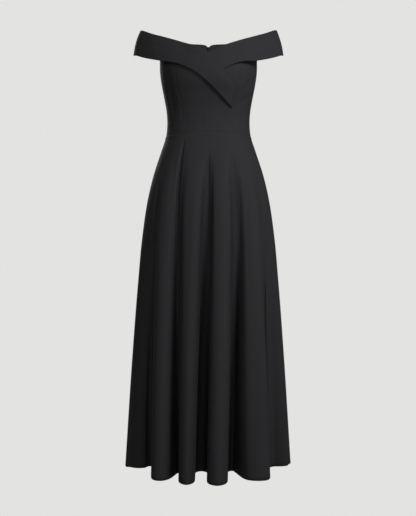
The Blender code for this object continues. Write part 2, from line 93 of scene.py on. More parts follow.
# %% [markdown]
# ## The studio
#
# Black cloth shows its shape only through soft highlights, so the light matters more here
# than the colour. The photograph has one broad soft light on the viewer's right, which
# draws a bright line down the right side of each fold, and a weak fill from the left. A
# narrow light at the side and a low one in front lift the valleys a little, and one behind
# shows the back. The paper is one even pale grey, so the floor and the sky share that grey.

# %% Floor, sky and lights
PAPER_GREY = (0.768, 0.768, 0.761, 1.0)
ROOM_LIGHT = 0.085
FLOOR_DROP = 0.30
FLOOR_SIZE = 40.0

StudioLight = namedtuple("StudioLight", "name place target width height watts")
STUDIO_LIGHTS = (
    StudioLight("key_softbox", (1.7, -2.15, 1.45), (0.0, 0.0, -0.1), 1.1, 1.1, 65.5),
    StudioLight("left_softbox", (-1.5, -2.6, 1.2), (0.0, 0.0, -0.2), 1.1, 1.1, 19.5),
    StudioLight("side_softbox", (2.4, 0.1, 0.3), (0.0, 0.0, -0.2), 0.5, 2.2, 9.0),
    StudioLight("low_fill", (0.2, -2.9, -0.7), (0.0, 0.0, -0.6), 0.9, 0.9, 9.0),
    StudioLight("back_softbox", (-1.4, 2.4, 1.2), (0.0, 0.0, -0.1), 1.2, 1.2, 24.0),
)


def add_floor(height):
    """A wide plain floor that shines with the paper's grey and casts no light."""
    mesh = bpy.data.meshes.new("floor")
    half = FLOOR_SIZE / 2
    corners = [(-half, -half, height), (half, -half, height),
               (half, half, height), (-half, half, height)]
    mesh.from_pydata(corners, [], [(0, 1, 2, 3)])
    floor = bpy.data.objects.new("floor", mesh)
    bpy.context.scene.collection.objects.link(floor)
    material = bpy.data.materials.new("paper_floor")
    material.use_nodes = True
    nodes = material.node_tree.nodes
    nodes.clear()
    glow = nodes.new("ShaderNodeEmission")
    glow.inputs["Color"].default_value = PAPER_GREY
    output = nodes.new("ShaderNodeOutputMaterial")
    material.node_tree.links.new(glow.outputs["Emission"], output.inputs["Surface"])
    mesh.materials.append(material)
    floor.visible_diffuse = False
    floor.visible_glossy = False
    floor.visible_shadow = False
    return floor


def add_sky():
    """The paper's grey for the eye, and a weaker even light for the cloth."""
    world = bpy.data.worlds.new("paper_sky")
    bpy.context.scene.world = world
    world.use_nodes = True
    nodes, links = world.node_tree.nodes, world.node_tree.links
    nodes.clear()
    seen = nodes.new("ShaderNodeBackground")
    seen.inputs["Color"].default_value = PAPER_GREY
    lit = nodes.new("ShaderNodeBackground")
    lit.inputs["Color"].default_value = PAPER_GREY
    lit.inputs["Strength"].default_value = ROOM_LIGHT / PAPER_GREY[0]
    path = nodes.new("ShaderNodeLightPath")
    choice = nodes.new("ShaderNodeMixShader")
    output = nodes.new("ShaderNodeOutputWorld")
    links.new(path.outputs["Is Camera Ray"], choice.inputs["Fac"])
    links.new(lit.outputs["Background"], choice.inputs[1])
    links.new(seen.outputs["Background"], choice.inputs[2])
    links.new(choice.outputs["Shader"], output.inputs["Surface"])


def add_light(row):
    """One rectangular softbox that faces its target."""
    data = bpy.data.lights.new(row.name, "AREA")
    data.shape = "RECTANGLE"
    data.size, data.size_y = row.width, row.height
    data.energy = row.watts
    lamp = bpy.data.objects.new(row.name, data)
    lamp.location = row.place
    facing = Vector(row.target) - Vector(row.place)
    lamp.rotation_euler = facing.to_track_quat("-Z", "Y").to_euler()
    bpy.context.scene.collection.objects.link(lamp)


bpy.context.scene.view_settings.view_transform = "Standard"
add_floor(cad_box[0][2] - FLOOR_DROP)
add_sky()
for light_row in STUDIO_LIGHTS:
    add_light(light_row)
print("lights", [row.name for row in STUDIO_LIGHTS])

# %% [markdown]
# ## Shader sums
#
# A pattern such as a weave is a short formula. One small class wraps a node's socket so
# that the formula can be written as it is read, and another adds any other node with its
# settings first and its sockets after.

# %% Sockets that add and multiply


class Wire:
    """A node's output that can be used in a sum."""

    def __init__(self, graph, socket):
        self.graph = graph
        self.socket = socket

    def _join(self, operation, first, second):
        return self.graph.node("ShaderNodeMath", {"operation": operation}, {0: first, 1: second})

    def __add__(self, other):
        return self._join("ADD", self, other)

    def __radd__(self, other):
        return self._join("ADD", other, self)

    def __sub__(self, other):
        return self._join("SUBTRACT", self, other)

    def __rsub__(self, other):
        return self._join("SUBTRACT", other, self)

    def __mul__(self, other):
        return self._join("MULTIPLY", self, other)

    def __rmul__(self, other):
        return self._join("MULTIPLY", other, self)

    def sine(self):
        """The sine of this value."""
        return self.graph.node("ShaderNodeMath", {"operation": "SINE"}, {0: self})


class Graph:
    """The node tree of one material."""

    def __init__(self, name):
        self.material = bpy.data.materials.new(name)
        self.material.use_nodes = True
        self.tree = self.material.node_tree
        self.shader = self.tree.nodes["Principled BSDF"]

    def node(self, kind, settings=None, sockets=None, output=0):
        """Add a node: its settings first, then the values or links of its sockets."""
        made = self.tree.nodes.new(kind)
        for name, value in (settings or {}).items():
            setattr(made, name, value)
        for name, value in (sockets or {}).items():
            self.feed(made.inputs[name], value)
        return Wire(self, made.outputs[output])

    def feed(self, socket, value):
        """Give a socket a link or a plain value."""
        if isinstance(value, Wire):
            self.tree.links.new(value.socket, socket)
        else:
            socket.default_value = value

    def finish(self, constants, links):
        """Constants go on the shader's own sockets, and links where the surface varies."""
        for name, value in {**constants, **links}.items():
            self.feed(self.shader.inputs[name], value)
        return self.material


print("shader helpers ready")

# %% [markdown]
# ## Crepe
#
# Crepe is woven from hard-twisted yarn, so its face is a fine pebble and not a grid. It
# takes almost no light straight back, and it lifts a little at grazing angles, the sheen.
# The pebble could be geometry, but its grains are under half a millimetre, so it is bump on
# the cloth's own cut coordinates, in metres. Colour and roughness drift a little over the
# hand's breadth, as pressed cloth does.

# %% Crepe
CUT_MAP = "cut"
CREPE_BLACK = (0.0200, 0.0200, 0.0222, 1.0)
CREPE_WORN = (0.0260, 0.0258, 0.0280, 1.0)
PEBBLES_PER_METRE = 1900.0
YARNS_PER_METRE = 2100.0
DRIFT_PER_METRE = 7.0
YARN_TWIST = 5.0
PEBBLE_WARP = 0.8
PEBBLE_SHARE = 0.8
CREPE_RELIEF = {"Strength": 0.22, "Distance": 0.00018}
CREPE_ROUGHNESS = 0.66
ROUGHNESS_DRIFT = 0.16
TINT_FROM_DRIFT = 0.7
SHEEN_ROUGHNESS = 0.30
CREPE_SPECULAR = 0.16


def crepe(name, sheen=0.03):
    """Black crepe: pebbled, matte, with a soft sheen."""
    graph = Graph(name)
    place = graph.node("ShaderNodeUVMap", {"uv_map": CUT_MAP})
    drift = graph.node("ShaderNodeTexNoise", {},
                       {"Vector": place, "Scale": DRIFT_PER_METRE, "Detail": 4.0})
    pebble = graph.node("ShaderNodeTexNoise", {},
                        {"Vector": place, "Scale": PEBBLES_PER_METRE, "Detail": 2.0,
                         "Distortion": PEBBLE_WARP})
    split = graph.node("ShaderNodeSeparateXYZ", {}, {"Vector": place})
    along = Wire(graph, split.socket.node.outputs["Y"])
    turn = 2 * math.pi * YARNS_PER_METRE
    twist = pebble * YARN_TWIST
    yarns = (split * turn + twist).sine() * (along * turn + twist).sine()
    relief = pebble * PEBBLE_SHARE + yarns * (1 - PEBBLE_SHARE)
    bump = graph.node("ShaderNodeBump", {}, {**CREPE_RELIEF, "Height": relief})
    worn = drift * TINT_FROM_DRIFT + pebble * (1 - TINT_FROM_DRIFT)
    tint = graph.node("ShaderNodeMix", {"data_type": "RGBA"},
                      {"Factor": worn, 6: CREPE_BLACK, 7: CREPE_WORN}, output=2)
    return graph.finish(
        {"Sheen Weight": sheen, "Sheen Roughness": SHEEN_ROUGHNESS,
         "Specular IOR Level": CREPE_SPECULAR},
        {"Base Color": tint, "Roughness": CREPE_ROUGHNESS + drift * ROUGHNESS_DRIFT,
         "Normal": bump},
    )


crepe_bodice = crepe("crepe_bodice")
crepe_band = crepe("crepe_band", sheen=0.04)
crepe_skirt = crepe("crepe_skirt")
print("crepe materials", crepe_bodice.name, crepe_band.name, crepe_skirt.name)

# %% [markdown]
# ## Curves through a few sizes
#
# A dressmaker measures a figure at a few levels and lets the cloth run smoothly between
# them. The same idea is used here: each table has only the levels, folds or rows that the
# shape needs, and one smooth curve reads between its rows.

# %% Smooth curves and the body of the dress
Section = namedtuple("Section", "z half_width front_depth back_depth")
SECTIONS = (
    Section(-0.983, 0.2495, 0.160, 0.165),
    Section(-0.656, 0.2282, 0.150, 0.154),
    Section(-0.440, 0.2114, 0.142, 0.147),
    Section(-0.296, 0.1978, 0.136, 0.141),
    Section(-0.188, 0.1815, 0.129, 0.133),
    Section(-0.116, 0.1642, 0.120, 0.123),
    Section(-0.044, 0.1410, 0.106, 0.106),
    Section(0.000, 0.1269, 0.096, 0.094),
    Section(0.040, 0.1232, 0.094, 0.090),
    Section(0.075, 0.1253, 0.097, 0.088),
    Section(0.110, 0.1313, 0.105, 0.088),
    Section(0.148, 0.1388, 0.116, 0.089),
    Section(0.190, 0.1448, 0.117, 0.0900),
    Section(0.220, 0.1455, 0.108, 0.0915),
    Section(0.300, 0.1440, 0.096, 0.0980),
)
HEM_Z = -0.983
LOOP_POWER = 2.25


def column(rows, name):
    """One named column of a table."""
    return np.array([getattr(row, name) for row in rows], float)


def tangents(knots, values):
    """The slope of a smooth curve at each of its values."""
    step = np.diff(knots)
    rate = np.diff(values) / step
    slope = np.empty(len(values))
    slope[0], slope[-1] = rate[0], rate[-1]
    slope[1:-1] = (rate[:-1] * step[1:] + rate[1:] * step[:-1]) / (step[:-1] + step[1:])
    return slope


def hermite(start, end, slope_in, slope_out, step, t):
    """A cubic between two values, at the share t of the step."""
    weight = 2 * t ** 3 - 3 * t ** 2 + 1
    return (weight * start + (1 - weight) * end
            + (t ** 3 - 2 * t ** 2 + t) * step * slope_in + (t ** 3 - t ** 2) * step * slope_out)


def smooth(knots, values, at):
    """The smooth curve through (knot, value) pairs, read at an array of places."""
    knots, values = np.asarray(knots, float), np.asarray(values, float)
    slope = tangents(knots, values)
    at = np.clip(at, knots[0], knots[-1])
    index = np.clip(np.searchsorted(knots, at, side="right") - 1, 0, len(knots) - 2)
    step = knots[index + 1] - knots[index]
    t = (at - knots[index]) / step
    return hermite(values[index], values[index + 1], slope[index], slope[index + 1], step, t)


def body_radius(turn, z):
    """Distance from the axis to the dress before its folds; turn in degrees."""
    levels = column(SECTIONS, "z")
    half_width = smooth(levels, column(SECTIONS, "half_width"), z)
    front = smooth(levels, column(SECTIONS, "front_depth"), z)
    back = smooth(levels, column(SECTIONS, "back_depth"), z)
    across, forward = np.sin(np.radians(turn)), np.cos(np.radians(turn))
    depth = np.where(forward > 0, front, back)
    total = np.abs(across / half_width) ** LOOP_POWER + np.abs(forward / depth) ** LOOP_POWER
    return total ** (-1 / LOOP_POWER)


def body_points(turn, z):
    """Points on the dress before its folds."""
    turn, z = np.broadcast_arrays(turn, z)
    radius = body_radius(turn, z)
    angle = np.radians(turn)
    return np.stack([radius * np.sin(angle), -radius * np.cos(angle), z], axis=-1)


def turn_of_x(x, z):
    """The turn on the front where the dress is x from the centre."""
    low, high = np.zeros_like(z), np.full_like(z, 90.0)
    for _ in range(30):
        middle = (low + high) / 2
        inside = body_points(middle, z)[..., 0] < x
        low, high = np.where(inside, middle, low), np.where(inside, high, middle)
    return low


print("waist round", round(float(np.linalg.norm(np.diff(body_points(
    np.linspace(0, 360, 361), np.zeros(361)), axis=0), axis=1).sum()), 3), "m")

# %% [markdown]
# ## Cloth with two faces
#
# Cloth seen from a step away still has a thickness: at the hem, at the neck edge and where
# one piece lies over another. Every piece is a grid of points with a second face behind it
# and a rounded fold between them. Along a seam the cloth turns in, so the two sides meet
# in a fine soft groove, and that needs no drawn line.

# %% Grids of cloth
SEAM_TURN_IN = 0.0007
SEAM_REACH = 0.0019
SCENE_GAP = 0.00008
CLOTH_SHARP_ANGLE = math.radians(70)


def unit(vectors):
    """Vectors of length one."""
    return vectors / np.maximum(np.linalg.norm(vectors, axis=-1, keepdims=True), 1e-12)


def grid_normals(points):
    """Outward directions of a grid whose rows run down and columns run round."""
    return unit(np.cross(np.gradient(points, axis=0), np.gradient(points, axis=1)))


def running_length(points, axis):
    """Distance along the rows or the columns of a grid from its first point."""
    steps = np.linalg.norm(np.diff(points, axis=axis), axis=-1)
    total = np.cumsum(steps, axis=axis)
    start = np.zeros_like(np.take(total, [0], axis=axis))
    return np.concatenate([start, total], axis=axis)


def turn_in(points, normals, sides):
    """Roll the named sides of a grid inwards, as a seam does."""
    across, down = running_length(points, 1), running_length(points, 0)
    distances = {"left": across, "right": across[:, -1:] - across,
                 "top": down, "bottom": down[-1:, :] - down}
    for side in sides:
        fall = np.exp(-(distances[side] / SEAM_REACH) ** 2) * SEAM_TURN_IN
        points = points - normals * fall[..., None]
    return points


def border_of(rows, columns):
    """The places round a grid's edge, in order."""
    top = [(0, c) for c in range(columns)]
    right = [(r, columns - 1) for r in range(1, rows)]
    bottom = [(rows - 1, c) for c in range(columns - 2, -1, -1)]
    left = [(r, 0) for r in range(rows - 2, 0, -1)]
    return top + right + bottom + left


def cloth_mesh(name, outer, inner, beads):
    """A closed mesh between two grids; beads names the sides with a rounded fold."""
    rows, columns = outer.shape[:2]
    layer = rows * columns
    index = np.arange(layer).reshape(rows, columns)
    a, b = index[:-1, :-1], index[1:, :-1]
    c, d = index[1:, 1:], index[:-1, 1:]
    front = np.stack([a, b, c, d], -1).reshape(-1, 4)
    back = front[:, ::-1] + layer
    border = border_of(rows, columns)
    edge = np.array([index[spot] for spot in border])
    outward = np.zeros((rows, columns, 3))
    for side, here, there in (("top", (0,), (1,)), ("bottom", (-1,), (-2,)),
                              ("left", (slice(None), 0), (slice(None), 1)),
                              ("right", (slice(None), -1), (slice(None), -2))):
        if side in beads:
            outward[here] += unit(outer[here] - outer[there])
    flat_outer, flat_inner = outer.reshape(-1, 3), inner.reshape(-1, 3)
    half = np.linalg.norm(flat_outer[edge] - flat_inner[edge], axis=1, keepdims=True) / 2
    middle = (flat_outer[edge] + flat_inner[edge]) / 2 + outward.reshape(-1, 3)[edge] * half
    points = np.vstack([flat_outer, flat_inner, middle])
    rim = np.arange(len(edge)) + 2 * layer
    after, rim_after = np.roll(edge, -1), np.roll(rim, -1)
    sides = np.vstack([np.stack([edge, after, rim_after, rim], -1),
                       np.stack([rim, rim_after, after + layer, edge + layer], -1)])
    faces = np.vstack([front, back, sides])
    mesh = bpy.data.meshes.new(name)
    mesh.from_pydata(points.tolist(), [], faces.tolist())
    across = running_length(outer, 1)
    across -= across[:, columns // 2][:, None]
    cut = np.stack([across, -running_length(outer, 0)], -1).reshape(-1, 2)
    cut = np.vstack([cut, cut, cut[edge]])
    layer_uv = mesh.uv_layers.new(name=CUT_MAP)
    corner = np.empty(len(mesh.loops), np.int32)
    mesh.loops.foreach_get("vertex_index", corner)
    layer_uv.data.foreach_set("uv", cut[corner].astype(np.float32).ravel())
    mesh.shade_smooth()
    mesh.set_sharp_from_angle(angle=CLOTH_SHARP_ANGLE)
    return mesh


Cut = namedtuple("Cut", "piece width length area")


def add_cloth(name, outer, normals, thickness, beads, material):
    """Make a piece of cloth and put it on its body."""
    inner = outer - normals * np.broadcast_to(thickness, outer.shape[:2])[..., None]
    mesh = cloth_mesh(name, outer, inner, beads)
    piece = bpy.data.objects.new(name, mesh)
    mesh.materials.append(material)
    bpy.context.scene.collection.objects.link(piece)
    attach(piece, "dress")
    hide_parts(name)
    return piece


# %% [markdown]
# ## Creases
#
# A few long soft creases are what makes a fitted bodice read as cloth. Each row below is
# one of them: where it starts and ends on the body, how wide it is, and how far it sinks
# (or, with a minus sign, how far it stands up).

# %% Creases on the bodice
Crease = namedtuple("Crease", "turn_a z_a turn_b z_b width depth")
BODICE_CREASES = (
    Crease(-60, 0.185, -58, 0.045, 0.012, 0.0030),
    Crease(-74, 0.150, -66, 0.060, 0.010, -0.0012),
    Crease(-40, 0.060, -36, 0.005, 0.010, 0.0008),
    Crease(52, 0.120, 66, 0.165, 0.009, 0.0018),
    Crease(50, 0.085, 72, 0.120, 0.010, 0.0016),
    Crease(60, 0.075, 58, 0.015, 0.012, 0.0014),
    Crease(76, 0.180, 72, 0.090, 0.010, -0.0012),
    Crease(20, 0.060, 34, 0.010, 0.012, 0.0007),
    Crease(-14, 0.050, -10, 0.005, 0.012, 0.0006),
    Crease(118, 0.160, 132, 0.060, 0.014, 0.0020),
    Crease(238, 0.150, 226, 0.050, 0.014, 0.0022),
    Crease(150, 0.060, 160, 0.008, 0.012, 0.0012),
    Crease(208, 0.070, 200, 0.010, 0.012, 0.0011),
    Crease(96, 0.120, 108, 0.030, 0.011, 0.0013),
    Crease(262, 0.110, 252, 0.025, 0.011, 0.0012),
)
METRES_PER_DEGREE = 0.0021
CREASE_END = 0.05
CREASE_FULLNESS = 0.8


def crease_depth(turn, z, creases):
    """How far the creases sink the cloth at each point."""
    depth = np.zeros(np.broadcast(turn, z).shape)
    for row in creases:
        along_turn = (row.turn_b - row.turn_a) * METRES_PER_DEGREE
        along_z = row.z_b - row.z_a
        length_squared = along_turn ** 2 + along_z ** 2
        side = (turn - row.turn_a) * METRES_PER_DEGREE
        rise = z - row.z_a
        share = np.clip((side * along_turn + rise * along_z) / length_squared, 0, 1)
        away = np.hypot(side - share * along_turn, rise - share * along_z)
        taper = np.sin(math.pi * (share * (1 - 2 * CREASE_END) + CREASE_END)) ** CREASE_FULLNESS
        depth += row.depth * taper * np.exp(-(away / row.width) ** 2)
    return depth


print("bodice creases", len(BODICE_CREASES))

# %% [markdown]
# ## The bodice
#
# Five panels shape the bodice: a centre front between the princess seams, two side fronts
# and two backs. A princess seam takes the place of darts, so it runs over the fullest part
# of the bust and in towards the waist. One function makes each panel between two seams.

# %% Bodice panels
CLOTH_WALL = 0.0020
BODICE_HEIGHT = 0.245
BODICE_ROWS = 84

TopEdge = namedtuple("TopEdge", "turn z")
TOP_EDGE = (
    TopEdge(0, 0.217),
    TopEdge(30, 0.235),
    TopEdge(50, 0.245),
    TopEdge(72, 0.240),
    TopEdge(90, 0.231),
    TopEdge(112, 0.236),
    TopEdge(145, 0.262),
    TopEdge(180, 0.284),
)
PrincessPoint = namedtuple("PrincessPoint", "rise x")
PRINCESS_SEAM = (
    PrincessPoint(0.00, 0.0720),
    PrincessPoint(0.15, 0.0740),
    PrincessPoint(0.29, 0.0785),
    PrincessPoint(0.42, 0.0825),
    PrincessPoint(0.53, 0.0890),
    PrincessPoint(0.74, 0.0976),
    PrincessPoint(1.00, 0.1030),
)


def top_edge_z(turn):
    """Height of the bodice's top edge."""
    away = np.abs((turn + 180) % 360 - 180)
    return smooth(column(TOP_EDGE, "turn"), column(TOP_EDGE, "z"), away)


def princess_turn(rise):
    """Turn of the left princess seam at a share of the bodice's height."""
    x = smooth(column(PRINCESS_SEAM, "rise"), column(PRINCESS_SEAM, "x"), rise)
    return turn_of_x(x, rise * BODICE_HEIGHT)


def bodice_panel(name, first, second, columns, turned):
    """A panel between two seams, which are turns for each share of the height."""
    rise = np.linspace(1, 0, BODICE_ROWS)[:, None]
    gap = np.degrees(SCENE_GAP / body_radius(90.0, np.zeros(1)))[0]
    share = np.linspace(0, 1, columns)[None, :]
    turn = first(rise) + gap + (second(rise) - first(rise) - 2 * gap) * share
    z = SCENE_GAP + rise * (top_edge_z(turn) - SCENE_GAP)
    points = body_points(turn, z)
    normals = grid_normals(points)
    points = points - normals * crease_depth(turn, z, BODICE_CREASES)[..., None]
    normals = grid_normals(points)
    points = turn_in(points, normals, turned)
    return add_cloth(name, points, normals, CLOTH_WALL, ("top",), crepe_bodice)


def level(value):
    """A straight seam at one turn."""
    return lambda rise: np.full_like(rise, float(value))


def left_princess(rise):
    """The wearer's left princess seam."""
    return princess_turn(rise)


def right_princess(rise):
    """The wearer's right princess seam."""
    return -princess_turn(rise)


BOTH_SEAMS = ("left", "right", "bottom")
bodice_panel("bodice_centre_front", right_princess, left_princess, 96, BOTH_SEAMS)
bodice_panel("bodice_side_front_left", left_princess, level(90), 52, BOTH_SEAMS)
bodice_panel("bodice_side_front_right", level(-90), right_princess, 52, BOTH_SEAMS)
bodice_panel("bodice_back_left", level(90), level(180), 80, BOTH_SEAMS)
bodice_panel("bodice_back_right", level(180), level(270), 80, BOTH_SEAMS)

# %% [markdown]
# ## The skirt
#
# A flared skirt is wider at the hem than the hips need, and the spare cloth hangs in
# pipes: deep round crests with narrow valleys between them. Each row of the table is one
# crest or valley, with its place at the hem as seen from below. The cloth leaves the hip
# smoothly and each fold grows on the way down, so every level is a blend of the plain
# body and the hem. The real skirt could be simulated, but these folds stand at measured
# places, so they are placed one by one and only softened by small waves.

# %% Folds of the skirt
Fold = namedtuple("Fold", "turn x y facing half_width set_back start_z")
FOLDS = (
    Fold(-90, -0.2495, 0.002, -90, 0.0200, 0.006, -0.120),
    Fold(-77, -0.2140, -0.030, -14, 0.0260, 0.006, -0.140),
    Fold(-63, -0.1710, -0.018, 0, 0.0040, -0.006, -0.130),
    Fold(-51, -0.1345, -0.158, 2, 0.0225, 0.013, -0.060),
    Fold(-38, -0.0885, -0.083, 0, 0.0040, -0.012, -0.022),
    Fold(-19, -0.0608, -0.195, 0, 0.0196, 0.018, -0.050),
    Fold(0, -0.0205, -0.064, 0, 0.0140, -0.010, -0.062),
    Fold(18, 0.0240, -0.203, 0, 0.0245, 0.018, -0.050),
    Fold(35, 0.0690, -0.060, 0, 0.0100, -0.008, -0.060),
    Fold(49, 0.1425, -0.158, 3, 0.0290, 0.012, -0.060),
    Fold(63, 0.1740, -0.014, 0, 0.0030, -0.010, -0.130),
    Fold(77, 0.2175, -0.012, 14, 0.0220, 0.004, -0.160),
    Fold(90, 0.2495, 0.024, 84, 0.0200, 0.008, -0.120),
    Fold(104, 0.2150, 0.112, 122, 0.0260, 0.016, -0.100),
    Fold(119, 0.1520, 0.080, 155, 0.0100, -0.012, -0.070),
    Fold(134, 0.1290, 0.182, 168, 0.0240, 0.016, -0.060),
    Fold(150, 0.0850, 0.084, 180, 0.0100, -0.012, -0.090),
    Fold(165, 0.0450, 0.206, 176, 0.0230, 0.015, -0.150),
    Fold(180, 0.0000, 0.100, 180, 0.0120, -0.014, -0.220),
    Fold(196, -0.0580, 0.200, 180, 0.0200, 0.014, -0.150),
    Fold(212, -0.1010, 0.090, 180, 0.0100, -0.012, -0.080),
    Fold(228, -0.1480, 0.174, 195, 0.0250, 0.016, -0.060),
    Fold(243, -0.1740, 0.078, 205, 0.0100, -0.012, -0.080),
    Fold(257, -0.2240, 0.088, 238, 0.0230, 0.014, -0.100),
)
CREST_SHARE = 0.44
VALLEY_SHARE = 0.17
FOLD_EASE = 0.03


def fold_controls():
    """Turn, hem x, hem y and start height at each fold's shoulders and middle."""
    controls = []
    for index, fold in enumerate(FOLDS):
        step_in = (fold.turn - FOLDS[index - 1].turn) % 360
        step_out = (FOLDS[(index + 1) % len(FOLDS)].turn - fold.turn) % 360
        angle = math.radians(fold.facing)
        facing = np.array([math.sin(angle), -math.cos(angle)])
        across = np.array([math.cos(angle), math.sin(angle)])
        reach = CREST_SHARE if fold.set_back > 0 else VALLEY_SHARE
        for side, shift in ((-1, -step_in * reach), (0, 0.0), (1, step_out * reach)):
            spot = np.array([fold.x, fold.y]) + across * fold.half_width * side
            spot = spot - facing * fold.set_back * abs(side)
            controls.append((fold.turn + shift, spot[0], spot[1], fold.start_z))
    return np.array(controls)


def wrapped_curve(controls):
    """Knots and columns of the closed curve through the controls, a little past once round."""
    count = len(controls)
    rows = controls[np.arange(-3, count + 4) % count].copy()
    steps = np.sqrt(np.linalg.norm(np.diff(rows[:, 1:3], axis=0), axis=1))
    for index in range(1, len(rows)):
        while rows[index, 0] < rows[index - 1, 0]:
            rows[index, 0] += 360.0
    return np.concatenate([[0.0], np.cumsum(steps)]), rows


skirt_knots, skirt_rows = wrapped_curve(fold_controls())
skirt_slopes = np.stack([tangents(skirt_knots, skirt_rows[:, k]) for k in range(4)], -1)


def hem_values(place):
    """Turn, hem x, hem y and start height at places counted in controls."""
    shifted = place + 3
    index = np.minimum(np.floor(shifted).astype(int), len(skirt_knots) - 2)
    t = (shifted - index)[:, None]
    step = (skirt_knots[index + 1] - skirt_knots[index])[:, None]
    return hermite(skirt_rows[index], skirt_rows[index + 1], skirt_slopes[index],
                   skirt_slopes[index + 1], step, t)


def skirt_points(place, z):
    """The outside of the skirt over places (columns) and heights (rows)."""
    turn, hem_x, hem_y, start_z = hem_values(place).T
    base = body_points(turn[None, :], z[:, None])
    base_hem = body_points(turn, np.full_like(turn, HEM_Z))
    fall = np.maximum((start_z[None, :] - z[:, None]) / (start_z[None, :] - HEM_Z), 0.0)
    growth = fall * fall * (1 + FOLD_EASE) / (fall + FOLD_EASE)
    shift = np.stack([hem_x - base_hem[:, 0], hem_y - base_hem[:, 1], np.zeros_like(turn)], -1)
    return base + shift[None] * growth[..., None]


print("hem round", round(float(np.linalg.norm(np.diff(skirt_points(
    np.linspace(0, 72, 721), np.array([HEM_Z]))[0], axis=0), axis=1).sum()), 3), "m")

# %% [markdown]
# ## Waves, the pressed seam and the hem
#
# Each valley begins as a narrow dent under the hip, so the table's first rows sink the
# valleys' tops. Between the big folds the cloth is never quite flat either, and the other
# rows are long shallow waves, uneven in place and length; a minus sign raises the cloth. A
# wave with a lead below one is deepest near its top and starts sharply there. Below the
# waist seam its allowance is pressed down and shows as a shallow ridge, one centimetre
# wide. At the hem the cloth is turned up inside, so the wall is thicker there.

# %% Skirt panels
SKIRT_STEPS = 10
SKIRT_ROWS = 104
ALLOWANCE_HEIGHT = 0.0105
ALLOWANCE_RISE = 0.0006
ALLOWANCE_SOFTNESS = 0.0008
HEM_TURN_UP = 0.030
HEM_EXTRA = 0.0008
HEM_SOFTNESS = 0.001
ROW_SPREAD = 1.25
PLACE_NUDGE = 0.1
WAVE_FULLNESS = 0.2

Wave = namedtuple("Wave", "place top_z bottom_z width depth lead")
SKIRT_WAVES = (
    Wave(7.0, -0.130, -0.420, 0.70, 0.0050, 0.6),
    Wave(12.8, -0.026, -0.360, 0.65, 0.0072, 0.6),
    Wave(19.0, -0.058, -0.380, 0.85, 0.0064, 0.6),
    Wave(24.5, -0.050, -0.330, 1.10, 0.0034, 0.8),
    Wave(31.0, -0.110, -0.400, 0.80, 0.0018, 0.8),
    Wave(43.0, -0.060, -0.330, 0.80, 0.0034, 0.6),
    Wave(49.0, -0.080, -0.330, 0.80, 0.0034, 0.6),
    Wave(61.0, -0.070, -0.330, 0.80, 0.0034, 0.6),
    Wave(67.0, -0.075, -0.350, 0.80, 0.0034, 0.6),
    Wave(7.2, -0.020, -0.420, 0.55, 0.0022, 1.0),
    Wave(11.0, -0.015, -0.300, 0.50, 0.0020, 1.0),
    Wave(14.6, -0.012, -0.260, 0.45, 0.0016, 1.0),
    Wave(16.4, -0.020, -0.520, 0.50, -0.0014, 1.0),
    Wave(6.2, -0.220, -1.350, 1.10, 0.0140, 1.0),
    Wave(26.5, -0.260, -1.350, 0.80, -0.0090, 1.0),
    Wave(31.6, -0.260, -1.350, 0.70, -0.0100, 1.0),
    Wave(23.6, -0.015, -0.300, 0.45, 0.0018, 1.0),
    Wave(27.3, -0.030, -0.600, 0.60, 0.0024, 1.0),
    Wave(29.2, -0.025, -0.420, 0.50, -0.0012, 1.0),
    Wave(32.0, -0.060, -0.700, 0.60, 0.0016, 1.0),
    Wave(39.5, -0.030, -0.500, 0.60, 0.0022, 1.0),
    Wave(44.2, -0.020, -0.400, 0.60, 0.0020, 1.0),
    Wave(48.0, -0.030, -0.450, 0.55, 0.0018, 1.0),
    Wave(53.0, -0.200, -0.500, 0.50, 0.0012, 1.0),
    Wave(58.8, -0.030, -0.430, 0.55, 0.0020, 1.0),
    Wave(62.8, -0.020, -0.380, 0.60, 0.0022, 1.0),
    Wave(67.6, -0.040, -0.520, 0.60, 0.0020, 1.0),
)


def wave_depth(place, z):
    """How far the shallow waves sink the skirt."""
    depth = np.zeros((len(z), len(place)))
    for row in SKIRT_WAVES:
        share = np.clip((row.top_z - z) / (row.top_z - row.bottom_z), 0, 1)[:, None]
        away = (place[None, :] - row.place) / row.width
        sharpness = 2 * row.lead - WAVE_FULLNESS
        along = np.sin(math.pi * share ** row.lead) ** sharpness
        depth += row.depth * along * np.exp(-away ** 2)
    return depth


def skirt_panel(name, first, last):
    """A panel of the skirt between the middles of two folds."""
    place = np.linspace(first, last, int((last - first) * SKIRT_STEPS) + 1)
    share = np.linspace(0, 1, SKIRT_ROWS)
    z = -SCENE_GAP + (HEM_Z + SCENE_GAP) * share ** ROW_SPREAD
    wide = np.concatenate([[first - PLACE_NUDGE], place, [last + PLACE_NUDGE]])
    points = skirt_points(wide, z)
    normals = grid_normals(points)
    points = points - normals * wave_depth(wide, z)[..., None]
    normals = grid_normals(points)[:, 1:-1]
    points = points[:, 1:-1]
    ridge = ALLOWANCE_RISE / (1 + np.exp((-z - ALLOWANCE_HEIGHT) / ALLOWANCE_SOFTNESS))
    points = points + normals * ridge[:, None, None]
    points = turn_in(points, normals, ("left", "right", "top"))
    hem = 1 / (1 + np.exp((z - HEM_Z - HEM_TURN_UP) / HEM_SOFTNESS))
    thickness = CLOTH_WALL + HEM_EXTRA * hem
    return add_cloth(name, points, normals, thickness[:, None], ("bottom",),
                     crepe_skirt)


fold_turns = [fold.turn for fold in FOLDS]
RIGHT_SEAM = 3 * fold_turns.index(-90) + 1
LEFT_SEAM = 3 * fold_turns.index(90) + 1
BACK_SEAM = 3 * fold_turns.index(180) + 1
skirt_panel("skirt_front", RIGHT_SEAM, LEFT_SEAM)
skirt_panel("skirt_back_left", LEFT_SEAM, BACK_SEAM)
skirt_panel("skirt_back_right", BACK_SEAM, 3 * len(FOLDS) + RIGHT_SEAM)

